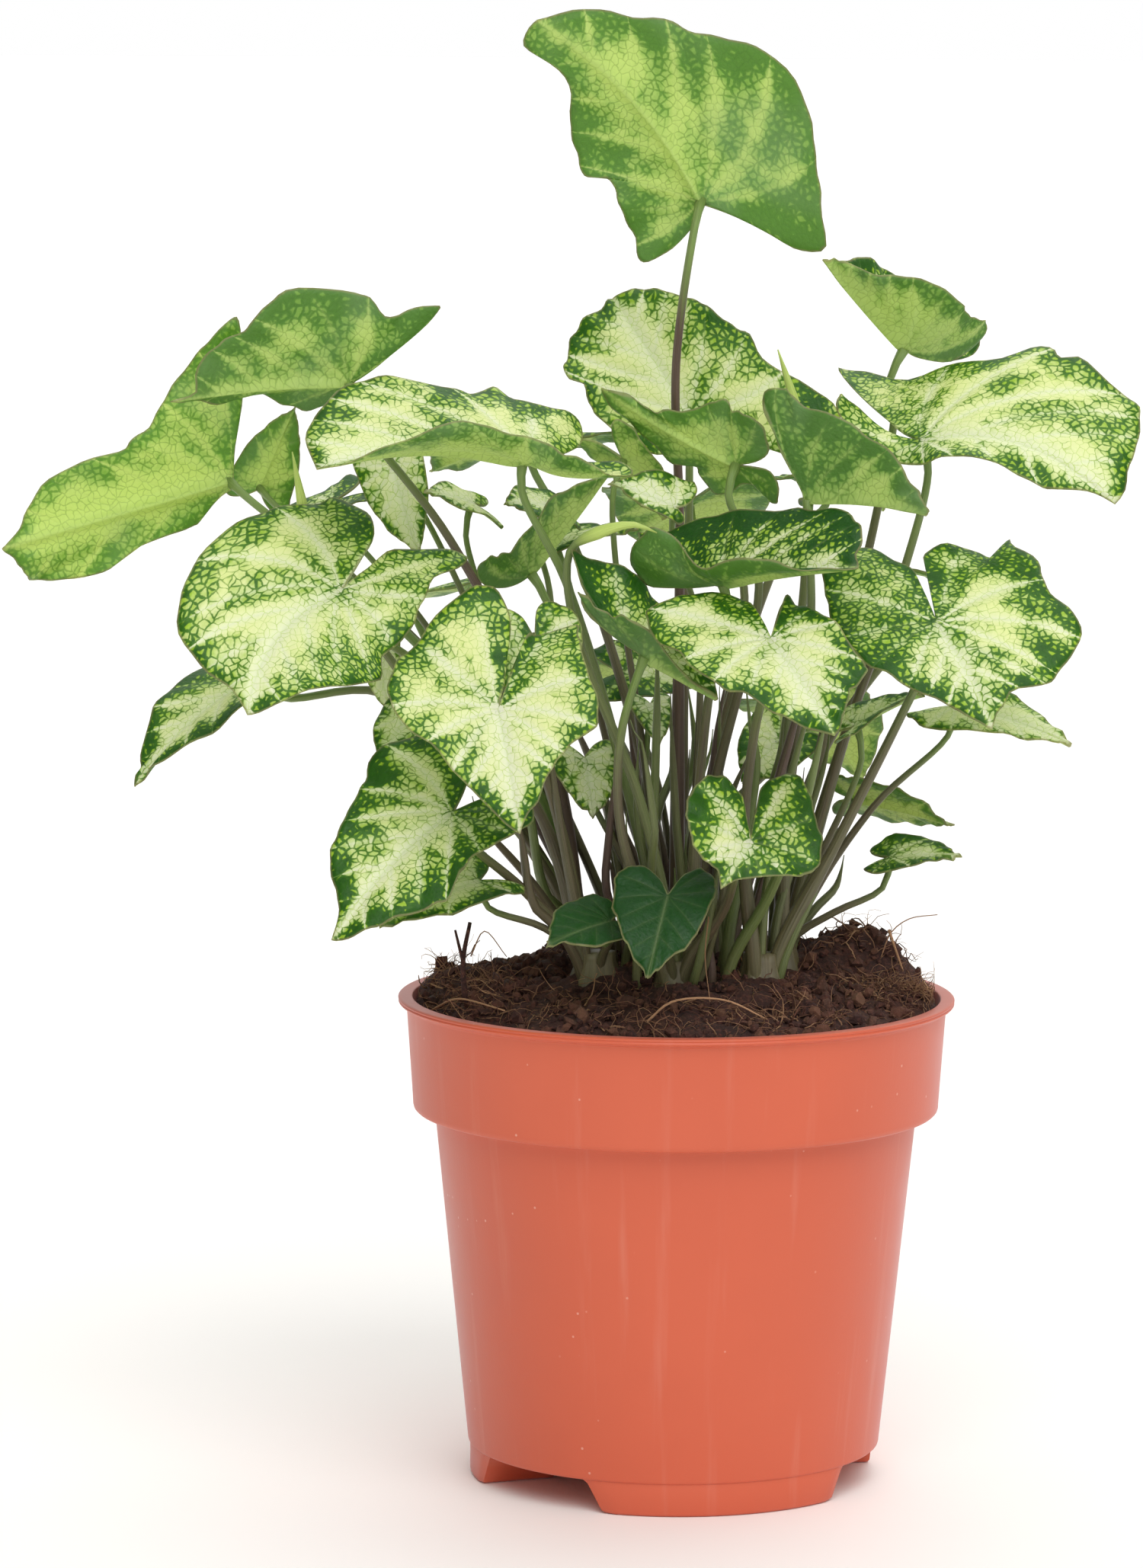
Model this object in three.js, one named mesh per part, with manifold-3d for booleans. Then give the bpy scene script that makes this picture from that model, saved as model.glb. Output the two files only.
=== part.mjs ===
// Arrowhead plant (Syngonium podophyllum) with cream-netted leaves, in a 12 cm plastic nursery pot.
// Millimetres, +Z up. Every place below is measured from the pot's axis, with z = 0 on the surface
// that the pot stands on; the whole group is then moved so that the middle of its box is the origin.
import * as THREE from 'three';
import { mergeVertices } from 'three/addons/utils/BufferGeometryUtils.js';
import Module from 'manifold-3d';

const wasm = await Module();
wasm.setup();

// ---------------------------------------------------------------- driving dimensions

const POT = {
  height: 104.5,
  lipRadius: 60,
  lipHeight: 1.3,
  collarTopRadius: 58.1,
  collarBottomRadius: 56.6,
  collarBottomZ: 80,
  wallTopRadius: 51.9,
  wallBottomRadius: 44.5,
  wall: 1.3,
  rounding: 0.4,
  sides: 36,
};

const FEET = {
  count: 3,
  height: 7,
  outerRadius: 44.1,
  innerRadius: 27,
  firstAzimuth: -74.5,
  topSpan: 81,
  bottomSpan: 70,
  endWall: 2.5,
  floor: 1.4,
  steps: 7,
};

const DRAIN = { count: 6, radius: 3.5, circle: 16, sides: 8 };

// The potting soil: a mound inside the rim, raised behind the middle, with low lumps.
const SOIL = { gap: 0.4, edgeZ: 99.5, edgeDrop: 3.5, crownZ: 111, rise: 2.5, lump: 1.4, rings: 6 };

const BLADE = {
  thickness: 0.7,
  plain: { rays: 20, rings: 3 },
  small: { rays: 14, rings: 2 },
  own: { rays: 30, rings: 2 },
  flatRim: 6,
  notch: 1,
  raiseSpan: { back: 6, ahead: 4 },
  seam: 2.5,
  probe: 0.05,
};
const STALK = {
  sides: 5,
  tipRadius: 0.85,
  baseRadius: 1.5,
  seat: 1.1,
  approach: 7,
  stepLength: 20,
  footZ: 101,
  footLean: 0.7,
  collarLean: 1.2,
  mostLean: 2.6,
};
const CROWN = {
  bottomZ: 92,
  chamfer: 3,
  shoulder: 7,
  shoulderRadius: 0.72,
  domeRise: 2,
  soilGap: 0.3,
  sides: 12,
};

// The short stems that the leaf stalks grow from: place in the soil, radius, height of the crown.
const STEMS = {
  stem_left_front: { at: [-17, -15], radius: 6.2, topZ: 115 },
  stem_left_back: { at: [-18, 5], radius: 6.2, topZ: 116 },
  stem_centre_front: { at: [0, -20], radius: 5.6, topZ: 114 },
  stem_centre: { at: [0, -1], radius: 6.6, topZ: 117 },
  stem_right_front: { at: [18, -15], radius: 5.6, topZ: 115 },
  stem_right_back: { at: [21, 5], radius: 6.6, topZ: 116 },
  stem_back: { at: [1, 19], radius: 6.2, topZ: 116 },
};

// One side of a blade's outline, from the tip to the notch behind the stalk. x counts lengths of
// the front part ahead of the stalk and lengths of the lobes behind it, y counts half widths.
const HEART_SIDE = [
  [1, 0], [0.95, 0.06], [0.86, 0.2], [0.72, 0.44], [0.54, 0.68], [0.34, 0.86], [0.08, 0.97],
  [-0.25, 1], [-0.6, 0.92], [-0.9, 0.68], [-1, 0.4], [-0.8, 0.16], [-0.35, 0.045], [-0.1, 0],
];
const ARROW_SIDE = [
  [1, 0], [0.94, 0.07], [0.84, 0.22], [0.67, 0.44], [0.47, 0.62], [0.23, 0.74], [-0.02, 0.79],
  [-0.28, 0.86], [-0.6, 0.94], [-0.9, 1], [-1, 0.95], [-0.6, 0.55], [-0.28, 0.18], [-0.1, 0],
];

// A leaf's own values, where its row below gives none. Lists of two hold the left and the right
// half, with the upper side up and the tip ahead.
// facing   roughly where the upper side looks
// half     widths of the two halves from the midrib to the margin
// lobe     lengths of the lobes behind the stalk
// arrow    0 for a rounded heart, 1 for spread arrow lobes
// taper    how much each half narrows toward the tip
// left     the leaf's own left margin between its tip and its notch, where it isn't a plain heart or
//          arrow: millimetres ahead of the stalk and out from the midrib; right is the other one
// fold     how far each half is raised, in degrees at the midrib
// raise    how far each lobe is raised, where that isn't its half's fold
// cup      how much more it is raised at its margin
// arch     how far the tip bends down, in degrees
// droop    how far each lobe bends down
// sweep    how far the midrib bends left, and swing how far the lobes do
// wave     height, number and phase of the waves along the margin
const PLAIN = {
  arrow: [0.4, 0.4],
  taper: [0, 0],
  left: null,
  right: null,
  fold: [4, 4],
  raise: null,
  cup: [0, 0],
  arch: 20,
  droop: [5, 5],
  sweep: 0,
  swing: 0,
  wave: [1, 5, 0],
};

// Every leaf: junction is where the stalk meets the blade, tip is the point of the blade, and via
// holds the points that the stalk passes between its stem and the blade.
const LEAF_ROWS = [
  { name: 'leaf_01', stem: 'stem_centre', junction: [4, 0, 275], tip: [-31, -8, 313],
    facing: [0.1, 1, 0.15], half: [28, 20], lobe: [18, 13], arrow: [0.2, 0.2], fold: [8, 8],
    cup: [-10, -15], arch: 15, sweep: -30, swing: -10, wave: [1.2, 5, 0],
    via: [[0, 8, 160], [0, 14, 205], [-1, 6, 240]],
    left: [[47, 6], [42.5, 9.5], [37, 13], [32.5, 17.5], [29, 18.5], [25.5, 21.5], [22, 25.5],
      [17, 28.5], [10, 30], [4, 28.5], [0, 27], [-4.5, 25], [-9.5, 23.5], [-17, 21.5], [-16, 15.5],
      [-11.5, 10.5], [-5, 4], [-2, 1]],
    right: [[52, 6], [40, 6.5], [32, 13], [25, 17], [19, 18.5], [14.5, 14.5], [8.5, 16], [0, 16.5],
      [-8, 17.5], [-8, 11], [-4, 3]] },
  { name: 'leaf_02', stem: 'stem_right_back', junction: [49, 39, 242], tip: [31, 25, 262],
    facing: [0.5, 0, 1], half: [17, 17], lobe: [22, 24], arrow: [0.3, 0.3], fold: [60, 55],
    cup: [10, 0], arch: -5, droop: [-60, -40], wave: [1.2, 6, 0],
    via: [[32, 20, 160], [43, 37, 205], [47, 41, 228]] },
  { name: 'leaf_03', stem: 'stem_right_back', junction: [52, 5, 224], tip: [92, -11, 212],
    facing: [-0.1, -0.5, 0.85], half: [26, 22], lobe: [28, 20], arrow: [0.6, 0.6], fold: [5, 0],
    cup: [0, -15], arch: 60, droop: [-25, -75], sweep: -25, wave: [1.2, 5, 1],
    via: [[36, 8, 160], [48, 8, 195]],
    left: [[46, 4.5], [44, 8.5], [42.5, 12.5], [40.5, 17.5], [38.5, 22], [36.5, 24.5], [33.5, 25.5],
      [29.5, 26], [23, 29], [20, 28], [18, 30], [14, 31], [8.5, 28], [2, 29], [-5, 30], [-12.5, 28],
      [-20, 30.5], [-23, 31], [-27, 30], [-27.5, 28], [-22, 21.5], [-16, 15], [-10, 9], [-5, 4]],
    right: [[44.5, 0.5], [40, 3.5], [35.5, 6.5], [32, 8], [27.5, 8.5], [23, 8.5], [17.5, 9.5],
      [11.5, 9.5], [7, 10], [2.5, 9.5], [-2.5, 7], [-7, 5], [-12, 3], [-17, 2], [-21, 0], [-23, -2.5],
      [-22, -4.5], [-18, -6], [-12, -5], [-6, -3]] },
  { name: 'leaf_04', stem: 'stem_back', junction: [2, 26, 228], tip: [-15, 38, 253],
    facing: [0, -1, 0.35], half: [29, 25], lobe: [10, 26], arrow: [0.6, 0.6], arch: 10,
    via: [[1, 26, 160], [2, 34, 200]],
    left: [[32, 1.5], [31, 4.5], [31, 7.5], [30, 10.5], [28.5, 13.5], [26, 15.5], [23.5, 17.5],
      [20.5, 18.5], [17.5, 16.5], [13, 17.5], [10, 17.5], [5, 16], [1, 14], [-2, 12.5], [-5, 10],
      [-6, 6], [-3, 2]],
    right: [[32, 3.5], [31, 6], [29, 8.5], [27, 10.5], [23.5, 13], [20.5, 14.5], [18.5, 16],
      [14.5, 17.5], [11.5, 19], [8.5, 20.5], [2.5, 20], [-2, 22], [-8.5, 25], [-14.5, 27.5], [-20, 27],
      [-23, 23], [-20, 15], [-12, 8], [-5, 3]] },
  { name: 'leaf_05', stem: 'stem_left_back', junction: [-71, 0, 236], tip: [-108, -10, 232],
    facing: [0, 0.1, 1], half: [22, 12], lobe: [24, 8], arrow: [1, 1], fold: [60, -22], cup: [20, 0],
    arch: 15, droop: [-10, 0], wave: [1.2, 5, 0], via: [[-28, 0, 160], [-49, -4, 203]],
    left: [[33.5, 1], [32, 5], [30, 8], [27.5, 10.5], [25, 12.5], [21.5, 14.5], [20, 16.5], [17, 19],
      [14, 20.5], [7, 20], [0, 19], [-3.5, 18.5], [-7, 15.5], [-10, 15.5], [-13, 17], [-18, 18],
      [-21, 16.5], [-19, 13.5], [-14, 9], [-9, 5], [-4, 1.7]],
    right: [[30, 3], [22, 6], [14, 9.5], [6, 11], [-2, 10], [-5, 6], [-3, 2]] },
  { name: 'leaf_06', stem: 'stem_left_back', junction: [-97, 10, 214], tip: [-145, 0, 200],
    facing: [-0.2, 0.9, 0], half: [33, 19], lobe: [19, 8], arrow: [1, 0.2], taper: [0.85, 0],
    fold: [0, 10], arch: 10, swing: 0, wave: [1.2, 5, 0], via: [[-32, 10, 150], [-66, 12, 188]],
    left: [[47, 2.5], [43, 6.5], [38, 11], [29, 13], [20, 13], [18, 14.5], [14, 16], [9.5, 19.5],
      [5, 24], [-1, 28.5], [-5, 31], [-10, 33.5], [-11.5, 31.5], [-8, 17.5], [-6, 12.5], [-3, 6]],
    right: [[49, 3.5], [48, 6.5], [46, 9], [41, 10.5], [31.5, 11.5], [22.5, 8.5], [11.5, 7.5],
      [8.5, 7], [4.5, 4], [2, 2.5], [-1, 1.5]] },
  { name: 'leaf_07', stem: 'stem_centre', junction: [-33, -20, 221], tip: [-75, -40, 220],
    facing: [0, -0.6, 0.8], half: [14, 29], lobe: [22, 16], arrow: [0.5, 0.5], fold: [25, 0],
    arch: 20, sweep: 30, raise: [0, 0], cup: [80, 0], droop: [-30, 5],
    via: [[-12, -6, 155], [-24, -14, 195]],
    left: [[44, 3], [36, 7], [28, 11], [20, 14], [14, 14], [8, 12], [2, 12], [-4, 14], [-10, 14],
      [-16, 12], [-21, 8], [-23, 3], [-20, -1], [-13, -2], [-6, -1]],
    right: [[45, 8], [42, 13], [38.5, 16.5], [34, 19.5], [28.5, 22.5], [24, 24], [20, 23.5], [13, 23],
      [9.5, 22], [7, 23], [4, 25.5], [1.5, 27], [-1, 23.5], [-4.5, 22], [-9, 22.5], [-13, 23],
      [-17, 23], [-16, 15], [-9, 7], [-3, 2]] },
  { name: 'leaf_08', stem: 'stem_left_front', junction: [-71, -30, 194], tip: [-89, -50, 170],
    facing: [-0.1, -0.85, 0.5], half: [18, 32], lobe: [26, 17], arrow: [0.2, 0.2], fold: [0, 0],
    cup: [-20, 0], arch: 25, sweep: 55, wave: [1.2, 5, 0], via: [[-29, -15, 145], [-52, -18, 175]],
    left: [[35.5, 4.5], [30.5, 10], [25.5, 14], [19.5, 18], [7.5, 22], [0, 18], [-6.5, 16], [-11, 13],
      [-15, 10], [-20.5, 5], [-28, 4], [-31, 1], [-29.5, -1], [-25, -3], [-17, -5.5], [-10, -3.5],
      [-5, -2]],
    right: [[32.5, 4], [29, 12], [23.5, 20.5], [17.5, 23.5], [11, 26.5], [3.5, 28], [-2, 28.5],
      [-10, 26.5], [-14, 25.5], [-17, 17.5], [-15, 11], [-10, 7], [-4.5, 3], [-2, 1]] },
  { name: 'leaf_09', stem: 'stem_left_front', junction: [-37, -55, 172], tip: [-32, -68, 148],
    facing: [0.05, -0.9, 0.4], half: [21, 22], lobe: [19, 23], arrow: [0, 0], fold: [5, 5], arch: 35,
    wave: [0.9, 5, 0], droop: [5, -15], via: [[-24, -19, 140], [-31, -30, 163]],
    left: [[24.5, 2], [21.5, 5], [16, 8.5], [12.5, 11.5], [10, 15], [9, 19], [5, 20], [-2.5, 20],
      [-10, 19.5], [-16, 19.5], [-19.5, 19.5], [-19.5, 12], [-18, 9], [-10.5, 5], [-5.5, 2.5]],
    right: [[24, 4], [18, 8], [13, 11.5], [7, 15.5], [2.5, 19], [-2.5, 21.5], [-7, 22], [-12, 20.5],
      [-16, 18], [-19, 14], [-23.5, 11], [-28, 4.5], [-30, -0.5], [-29.5, -4], [-24.5, -6], [-20, -6],
      [-13, -4], [-7, -2.5], [-3.5, -1]] },
  { name: 'leaf_10', stem: 'stem_left_front', junction: [-47, -42, 149], tip: [-71, -60, 125],
    facing: [-0.2, -0.75, 0.6], half: [14, 23], lobe: [19, 14], arrow: [0.3, 0.3], arch: 25,
    sweep: 10, wave: [0.9, 5, 0], via: [[-32, -24, 130]],
    left: [[37, 4], [33, 7], [29.5, 9.5], [25.5, 12], [21.5, 14], [18.5, 16], [14.5, 15.5], [11, 14],
      [7, 13.5], [0, 14], [-5.5, 14.5], [-11, 13], [-14, 9], [-12, 4], [-7, 1.5], [-3, 0.5]],
    right: [[35, 1], [32, 3], [29.5, 6], [25.5, 10], [22.5, 12.5], [19, 13.5], [15, 15.5], [9.5, 18],
      [6, 20], [2, 22.5], [-3, 23], [-10, 20.5], [-15, 16], [-16, 10], [-11, 6], [-6, 2.7],
      [-2, 0.5]] },
  { name: 'leaf_11', stem: 'stem_left_back', junction: [-91, 8, 172], tip: [-116, -10, 150],
    facing: [-0.7, -0.6, 0.4], half: [16, 16], lobe: [14, 14], fold: [10, 10], arch: 30,
    wave: [0.9, 5, 0], via: [[-38, 10, 145], [-64, 13, 168]] },
  { name: 'leaf_12', stem: 'stem_centre_front', junction: [-7, -31, 181], tip: [8, -33, 172],
    facing: [0.2, -0.3, 1], half: [18, 13], lobe: [22, 20], arrow: [0.3, 0.3], fold: [20, 80],
    cup: [10, 0], arch: 10, droop: [-35, -30], wave: [0.8, 5, 0],
    raise: [20, 60], via: [[-12, -29, 145], [-12, -32, 164]],
    left: [[17, 1], [13, 6], [6, 11], [0, 14], [-6, 16], [-11, 16], [-15, 15.5], [-20, 13],
      [-24.5, 9], [-28, 6], [-22, 3.8], [-12, 1.6], [-5, 0.5]],
    right: [[14.5, 0.5], [10, 1], [6.5, 2], [3, 3.5], [0, 5.5], [-4, 7.5], [-7, 9], [-9, 8.5],
      [-10.5, 6], [-13, 4.5], [-15.5, 3.2], [-18, 2.4], [-20, 1.2], [-18, 0.5], [-12, 0.2],
      [-5, 0]] },
  { name: 'leaf_13', stem: 'stem_centre_front', junction: [9, -27, 196], tip: [37, -47, 201],
    facing: [0, -0.55, 0.83], half: [22, 14], lobe: [25, 15], arrow: [0.3, 0.3], fold: [15, 30],
    cup: [0, 80], arch: 15, droop: [-30, -10], raise: [15, 50], via: [[4, -22, 145], [7, -20, 175]],
    left: [[33.5, 3], [33, 6.5], [31.5, 10.5], [29, 13.5], [25.5, 16], [20.5, 18], [15.5, 18.5],
      [11, 19], [5, 19], [-1, 19.5], [-8, 20], [-13.5, 19], [-19, 17.5], [-23, 15.5], [-26.5, 14],
      [-28, 13.5], [-25.5, 10.5], [-21, 7.8], [-14, 4.5], [-7, 1.8]],
    right: [[30, 3], [24, 5], [18, 7], [12, 8], [6, 8], [1, 8], [-3, 12], [-8, 16], [-13, 16.5],
      [-17, 13], [-20, 8], [-17, 4], [-10, 2], [-4, 0.5]] },
  { name: 'leaf_14', stem: 'stem_right_front', junction: [19, -46, 186], tip: [32, -64, 168],
    facing: [0, -0.75, 0.65], half: [16, 19], lobe: [13, 16], arrow: [0.3, 0.3], arch: 25,
    wave: [0.9, 5, 0], via: [[14, -22, 140], [16, -30, 165]],
    left: [[27, 2.5], [24.5, 4.5], [21.5, 7], [20, 9.5], [18, 13], [16.5, 13.5], [13, 13], [7.5, 13],
      [1.5, 12.5], [-3.5, 11.5], [-7.5, 10], [-11, 9.5], [-8.5, 7], [-5, 4], [-2, 1.5]],
    right: [[26, 2.5], [23.5, 4.5], [20.5, 7.5], [17.5, 9.5], [14.5, 11], [11.5, 13], [9, 15.5],
      [5, 17], [-0.5, 18], [-5, 18], [-10.5, 19.5], [-14.5, 20], [-19.5, 19], [-23, 17.5],
      [-22.5, 12], [-23, 8.5], [-22, 4], [-19, 0], [-16.5, -1.5], [-12.5, -2], [-6.5, -1.5]] },
  { name: 'leaf_15', stem: 'stem_right_front', junction: [54, -28, 188], tip: [65, -45, 168],
    facing: [0.1, -0.8, 0.6], half: [32, 22], lobe: [16, 25], fold: [0, 0], arch: 30,
    wave: [1.2, 5, 0], via: [[34, -14, 140], [46, -18, 165]],
    left: [[26.5, 2], [25, 4], [23, 7], [23.5, 12.5], [23, 15.5], [21, 18], [19.5, 21.5], [17, 24],
      [14.5, 26.5], [11.5, 27.5], [7.5, 27.5], [3.5, 26], [0.5, 25.5], [-3.5, 26], [-7, 27],
      [-11.5, 27], [-17, 25.5], [-21.5, 26.5], [-18.5, 22.5], [-17, 20.5], [-20, 19], [-22.5, 16],
      [-24, 13], [-23.5, 9.5], [-21, 6.5], [-16.5, 5], [-10, 3]],
    right: [[26, 2.5], [23.5, 5], [20, 7], [17.5, 10.5], [14.5, 13.5], [11, 15.5], [7.5, 18.5],
      [1, 19.5], [-5.5, 19.5], [-12, 19], [-18, 17], [-22.5, 16], [-29, 13.5], [-31, 9],
      [-30.5, 4.5], [-28.5, 0.5], [-24, -1.5], [-19, -3], [-14, -2.5], [-8, -1.5]] },
  { name: 'leaf_16', stem: 'stem_centre_front', junction: [15, -49, 144], tip: [9, -54, 135],
    facing: [0.15, -1, 0.25], half: [13, 13], lobe: [13, 13], arrow: [0.2, 0.2], fold: [10, 10],
    arch: 30, droop: [0, 0], wave: [0.6, 5, 0], via: [[10, -32, 128]],
    left: [[9, 1.5], [6.5, 4.5], [4, 8], [2, 11], [0, 13], [-1.5, 14.5], [-4, 14.5], [-8, 13],
      [-11, 11], [-14, 8.5], [-17, 6], [-20, 3], [-20.5, 0], [-18.5, -2], [-16, -3.5], [-13, -4],
      [-9.5, -3], [-6, -2]],
    right: [[9.5, 2.5], [9, 4.5], [9, 7], [8, 10], [6, 12.5], [4.5, 14.5], [2, 16], [-1.5, 16],
      [-5, 16], [-7.5, 14], [-8.5, 11.5], [-8.5, 8.5], [-7.5, 6], [-4.5, 3.5], [-2.5, 1.5]] },
  { name: 'leaf_17', stem: 'stem_left_front', junction: [-14, -40, 126], tip: [-27, -55, 123],
    facing: [0, -0.6, 0.8], half: [8, 10], lobe: [8, 7], arrow: [0.2, 0.2], arch: 15,
    wave: [0.6, 5, 0], small: true, via: [[-14, -26, 120]] },
  { name: 'leaf_18', stem: 'stem_centre_front', junction: [-2, -45, 132], tip: [-6, -60, 117],
    facing: [0, -0.8, 0.6], half: [10, 12], lobe: [10, 7], arrow: [0.2, 0.2], arch: 15,
    wave: [0.6, 5, 0], small: true, via: [[-3, -30, 122]] },
  { name: 'leaf_19', stem: 'stem_right_back', junction: [46, 5, 134], tip: [61, 0, 135],
    facing: [0, -0.4, 0.9], half: [9, 7], lobe: [6, 5], arrow: [0.2, 0.2], arch: 15,
    wave: [0.4, 5, 0], small: true, via: [[34, 5, 122]] },
  { name: 'leaf_20', stem: 'stem_right_back', junction: [39, 26, 144], tip: [60, 20, 139],
    facing: [0, 0.5, 0.85], half: [12, 12], lobe: [6, 6], arrow: [0.3, 0.3], arch: 15,
    wave: [0.6, 5, 0], small: true, via: [[27, 19, 130]] },
  { name: 'leaf_21', stem: 'stem_right_back', junction: [27, -15, 213], tip: [52, -30, 211],
    facing: [0, 0.1, 1], half: [7, 24], lobe: [5, 13], arrow: [0.5, 0.5], fold: [0, 70], cup: [0, 10],
    arch: 20, via: [[24, -2, 150], [28, -8, 185]],
    right: [[29, 1], [27.5, 3.5], [26, 4.5], [23, 7], [19, 11], [13.5, 14.5], [8, 18.5], [2.5, 21],
      [0.5, 23.5], [-1.5, 23.5], [-5.5, 22.5], [-6, 20.5], [-5, 16.5], [-4, 12], [-2, 5.5]] },
  { name: 'leaf_22', stem: 'stem_centre', junction: [12, -1, 219], tip: [-17, 5, 235],
    facing: [0.2, 0.8, 0.5], half: [14, 12], lobe: [16, 12], arrow: [0.5, 0.5], arch: 20,
    sweep: 30, via: [[8, 0, 150], [17, 1, 195]],
    left: [[32, 1.2], [29, 1.7], [26, 2], [24, 2.2], [22, 2.6], [20.5, 3.6], [18, 5.2], [15, 6.8],
      [11.5, 9.5], [9, 12], [6.5, 13], [4.5, 12.5], [3, 12], [0.5, 13], [-2.5, 13], [-5, 11],
      [-6, 8], [-6.5, 5], [-4.5, 2.5]],
    right: [[31, 2], [28, 3.5], [24, 4], [19, 5.5], [14.5, 8], [12, 7], [9.5, 6.5], [8, 7], [6, 8],
      [3.5, 9], [0, 6.5], [-2, 4], [-4.5, 3.3], [-6.5, 4.5], [-8.5, 5.5], [-10, 5.5], [-11.5, 4],
      [-11, 0.5], [-8.5, -2.5], [-5, -1.6]] },
  { name: 'leaf_23', stem: 'stem_centre', junction: [-1, -3, 210], tip: [-15, -2, 215],
    facing: [0, -0.7, 0.7], half: [4, 9], lobe: [3, 3], arrow: [0.2, 0.2], cup: [-10, -10],
    droop: [10, 10], wave: [0.8, 5, 0], small: true, via: [[4, 4, 150], [4, 4, 185]] },
  { name: 'leaf_24', stem: 'stem_left_back', junction: [-32, 6, 195], tip: [-14, 12, 218],
    facing: [-0.5, 0, 1], half: [10, 12], lobe: [12, 16], arrow: [0.2, 0.2], fold: [20, 45], arch: 0,
    droop: [-80, -80], wave: [0.8, 5, 0], via: [[-26, 5, 150]] },
  { name: 'leaf_25', stem: 'stem_left_front', junction: [-42, -30, 133], tip: [-62, -45, 125],
    facing: [0, -0.5, 0.85], half: [9, 10], lobe: [8, 8], wave: [0.6, 5, 0], small: true,
    via: [[-28, -22, 122]] },
  { name: 'leaf_26', stem: 'stem_left_back', junction: [-62, 16, 217], tip: [-56, 10, 198],
    facing: [-0.2, -1, 0.2], half: [8, 9], lobe: [9, 9], wave: [0.6, 5, 0], small: true,
    via: [[-30, 12, 150], [-52, 18, 200]] },
  { name: 'leaf_27', stem: 'stem_left_back', junction: [-91, 18, 212], tip: [-83, 14, 230],
    facing: [0, 0.9, 0.3], half: [8, 8], lobe: [4, 4], wave: [0.6, 5, 0], small: true,
    via: [[-32, 16, 150], [-66, 20, 188]] },
  { name: 'leaf_28', stem: 'stem_left_back', junction: [-76, 30, 208], tip: [-103, 24, 190],
    facing: [-0.5, -0.3, 0.7], half: [10, 10], lobe: [9, 9], wave: [0.6, 5, 0], small: true,
    via: [[-34, 20, 150], [-58, 28, 185]] },
  { name: 'leaf_29', stem: 'stem_centre', junction: [-12, 12, 219], tip: [-3, 13, 206],
    facing: [0.3, 0.6, 0.7], half: [9, 9], lobe: [9, 9], wave: [0.6, 5, 0], small: true,
    via: [[-8, 6, 160], [-14, 10, 200]] },
  { name: 'leaf_30', stem: 'stem_back', junction: [-27, 28, 199], tip: [-9, 24, 203],
    facing: [0, -0.3, 1], half: [10, 6], lobe: [5, 5], wave: [0.6, 5, 0], small: true,
    via: [[-14, 28, 150]] },
  { name: 'leaf_31', stem: 'stem_left_back', junction: [-45, 17, 209], tip: [-55, 10, 212],
    facing: [0, -0.5, 0.85], half: [7, 7], lobe: [7, 7], wave: [0.6, 5, 0], small: true,
    via: [[-28, 14, 150]] },
  { name: 'leaf_32', stem: 'stem_left_back', junction: [-29, 24, 208], tip: [-38, 16, 209],
    facing: [0, -0.6, 0.8], half: [8, 8], lobe: [7, 7], wave: [0.6, 5, 0], small: true,
    via: [[-26, 12, 150], [-28, 16, 190]] },
  { name: 'leaf_33', stem: 'stem_right_front', junction: [38, -8, 164], tip: [53, -6, 171],
    facing: [-0.2, -0.2, 1], half: [8, 8], lobe: [6, 6], fold: [15, 15], wave: [0.6, 5, 0],
    small: true, via: [[30, -10, 135]] },
  { name: 'leaf_34', stem: 'stem_right_back', junction: [60, 4, 167], tip: [84, -6, 160],
    facing: [0, -0.5, 0.85], half: [10, 10], lobe: [9, 9], wave: [0.8, 5, 0], small: true,
    via: [[42, 4, 145]] },
  { name: 'leaf_35', stem: 'stem_centre', junction: [-20, -4, 156], tip: [-18, -11, 144],
    facing: [0.3, -0.9, 0.3], half: [9, 9], lobe: [5, 5], wave: [0.5, 5, 0], small: true,
    via: [[-12, -4, 135]] },
  { name: 'leaf_36', stem: 'stem_centre', junction: [-6, 3, 167], tip: [-4, -5, 159],
    facing: [0.2, -0.9, 0.4], half: [5, 5], lobe: [4, 4], wave: [0.4, 5, 0], small: true,
    via: [[-7, 5, 140]] },
  { name: 'leaf_37', stem: 'stem_left_front', junction: [-30, -32, 184], tip: [-27, -38, 168],
    facing: [0.1, -0.9, 0.3], half: [10, 12], lobe: [9, 8], arrow: [0, 0], small: true,
    via: [[-24, -22, 140]] },
  { name: 'leaf_38', stem: 'stem_left_back', junction: [-64, 3, 178], tip: [-62, -1, 165],
    facing: [-0.2, -0.8, 0.3], half: [5, 5], lobe: [5, 5], wave: [0.4, 5, 0], small: true,
    via: [[-38, 2, 145]] },
  { name: 'leaf_39', stem: 'stem_left_back', junction: [-58, -8, 165], tip: [-63, -16, 156],
    facing: [-0.2, -0.6, 0.7], half: [7, 7], lobe: [6, 6], wave: [0.5, 5, 0], small: true,
    via: [[-34, 0, 140]] },
  { name: 'leaf_40', stem: 'stem_back', junction: [-12, 40, 170], tip: [6, 40, 167],
    facing: [0, -0.6, 0.8], half: [10, 10], lobe: [8, 8], wave: [0.6, 5, 0], small: true,
    via: [[-4, 32, 145]] },
  { name: 'leaf_41', stem: 'stem_back', junction: [22, 34, 156], tip: [14, 28, 147],
    facing: [0, -0.8, 0.6], half: [9, 9], lobe: [7, 7], wave: [0.6, 5, 0], small: true,
    via: [[10, 26, 140]] },
  { name: 'leaf_42', stem: 'stem_back', junction: [34, 57, 212], tip: [46, 72, 204],
    facing: [0.2, 0.5, 0.85], half: [14, 14], lobe: [8, 8], via: [[10, 30, 160], [24, 40, 200]] },
  { name: 'leaf_43', stem: 'stem_back', junction: [-34, 48, 222], tip: [-56, 68, 212],
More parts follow.
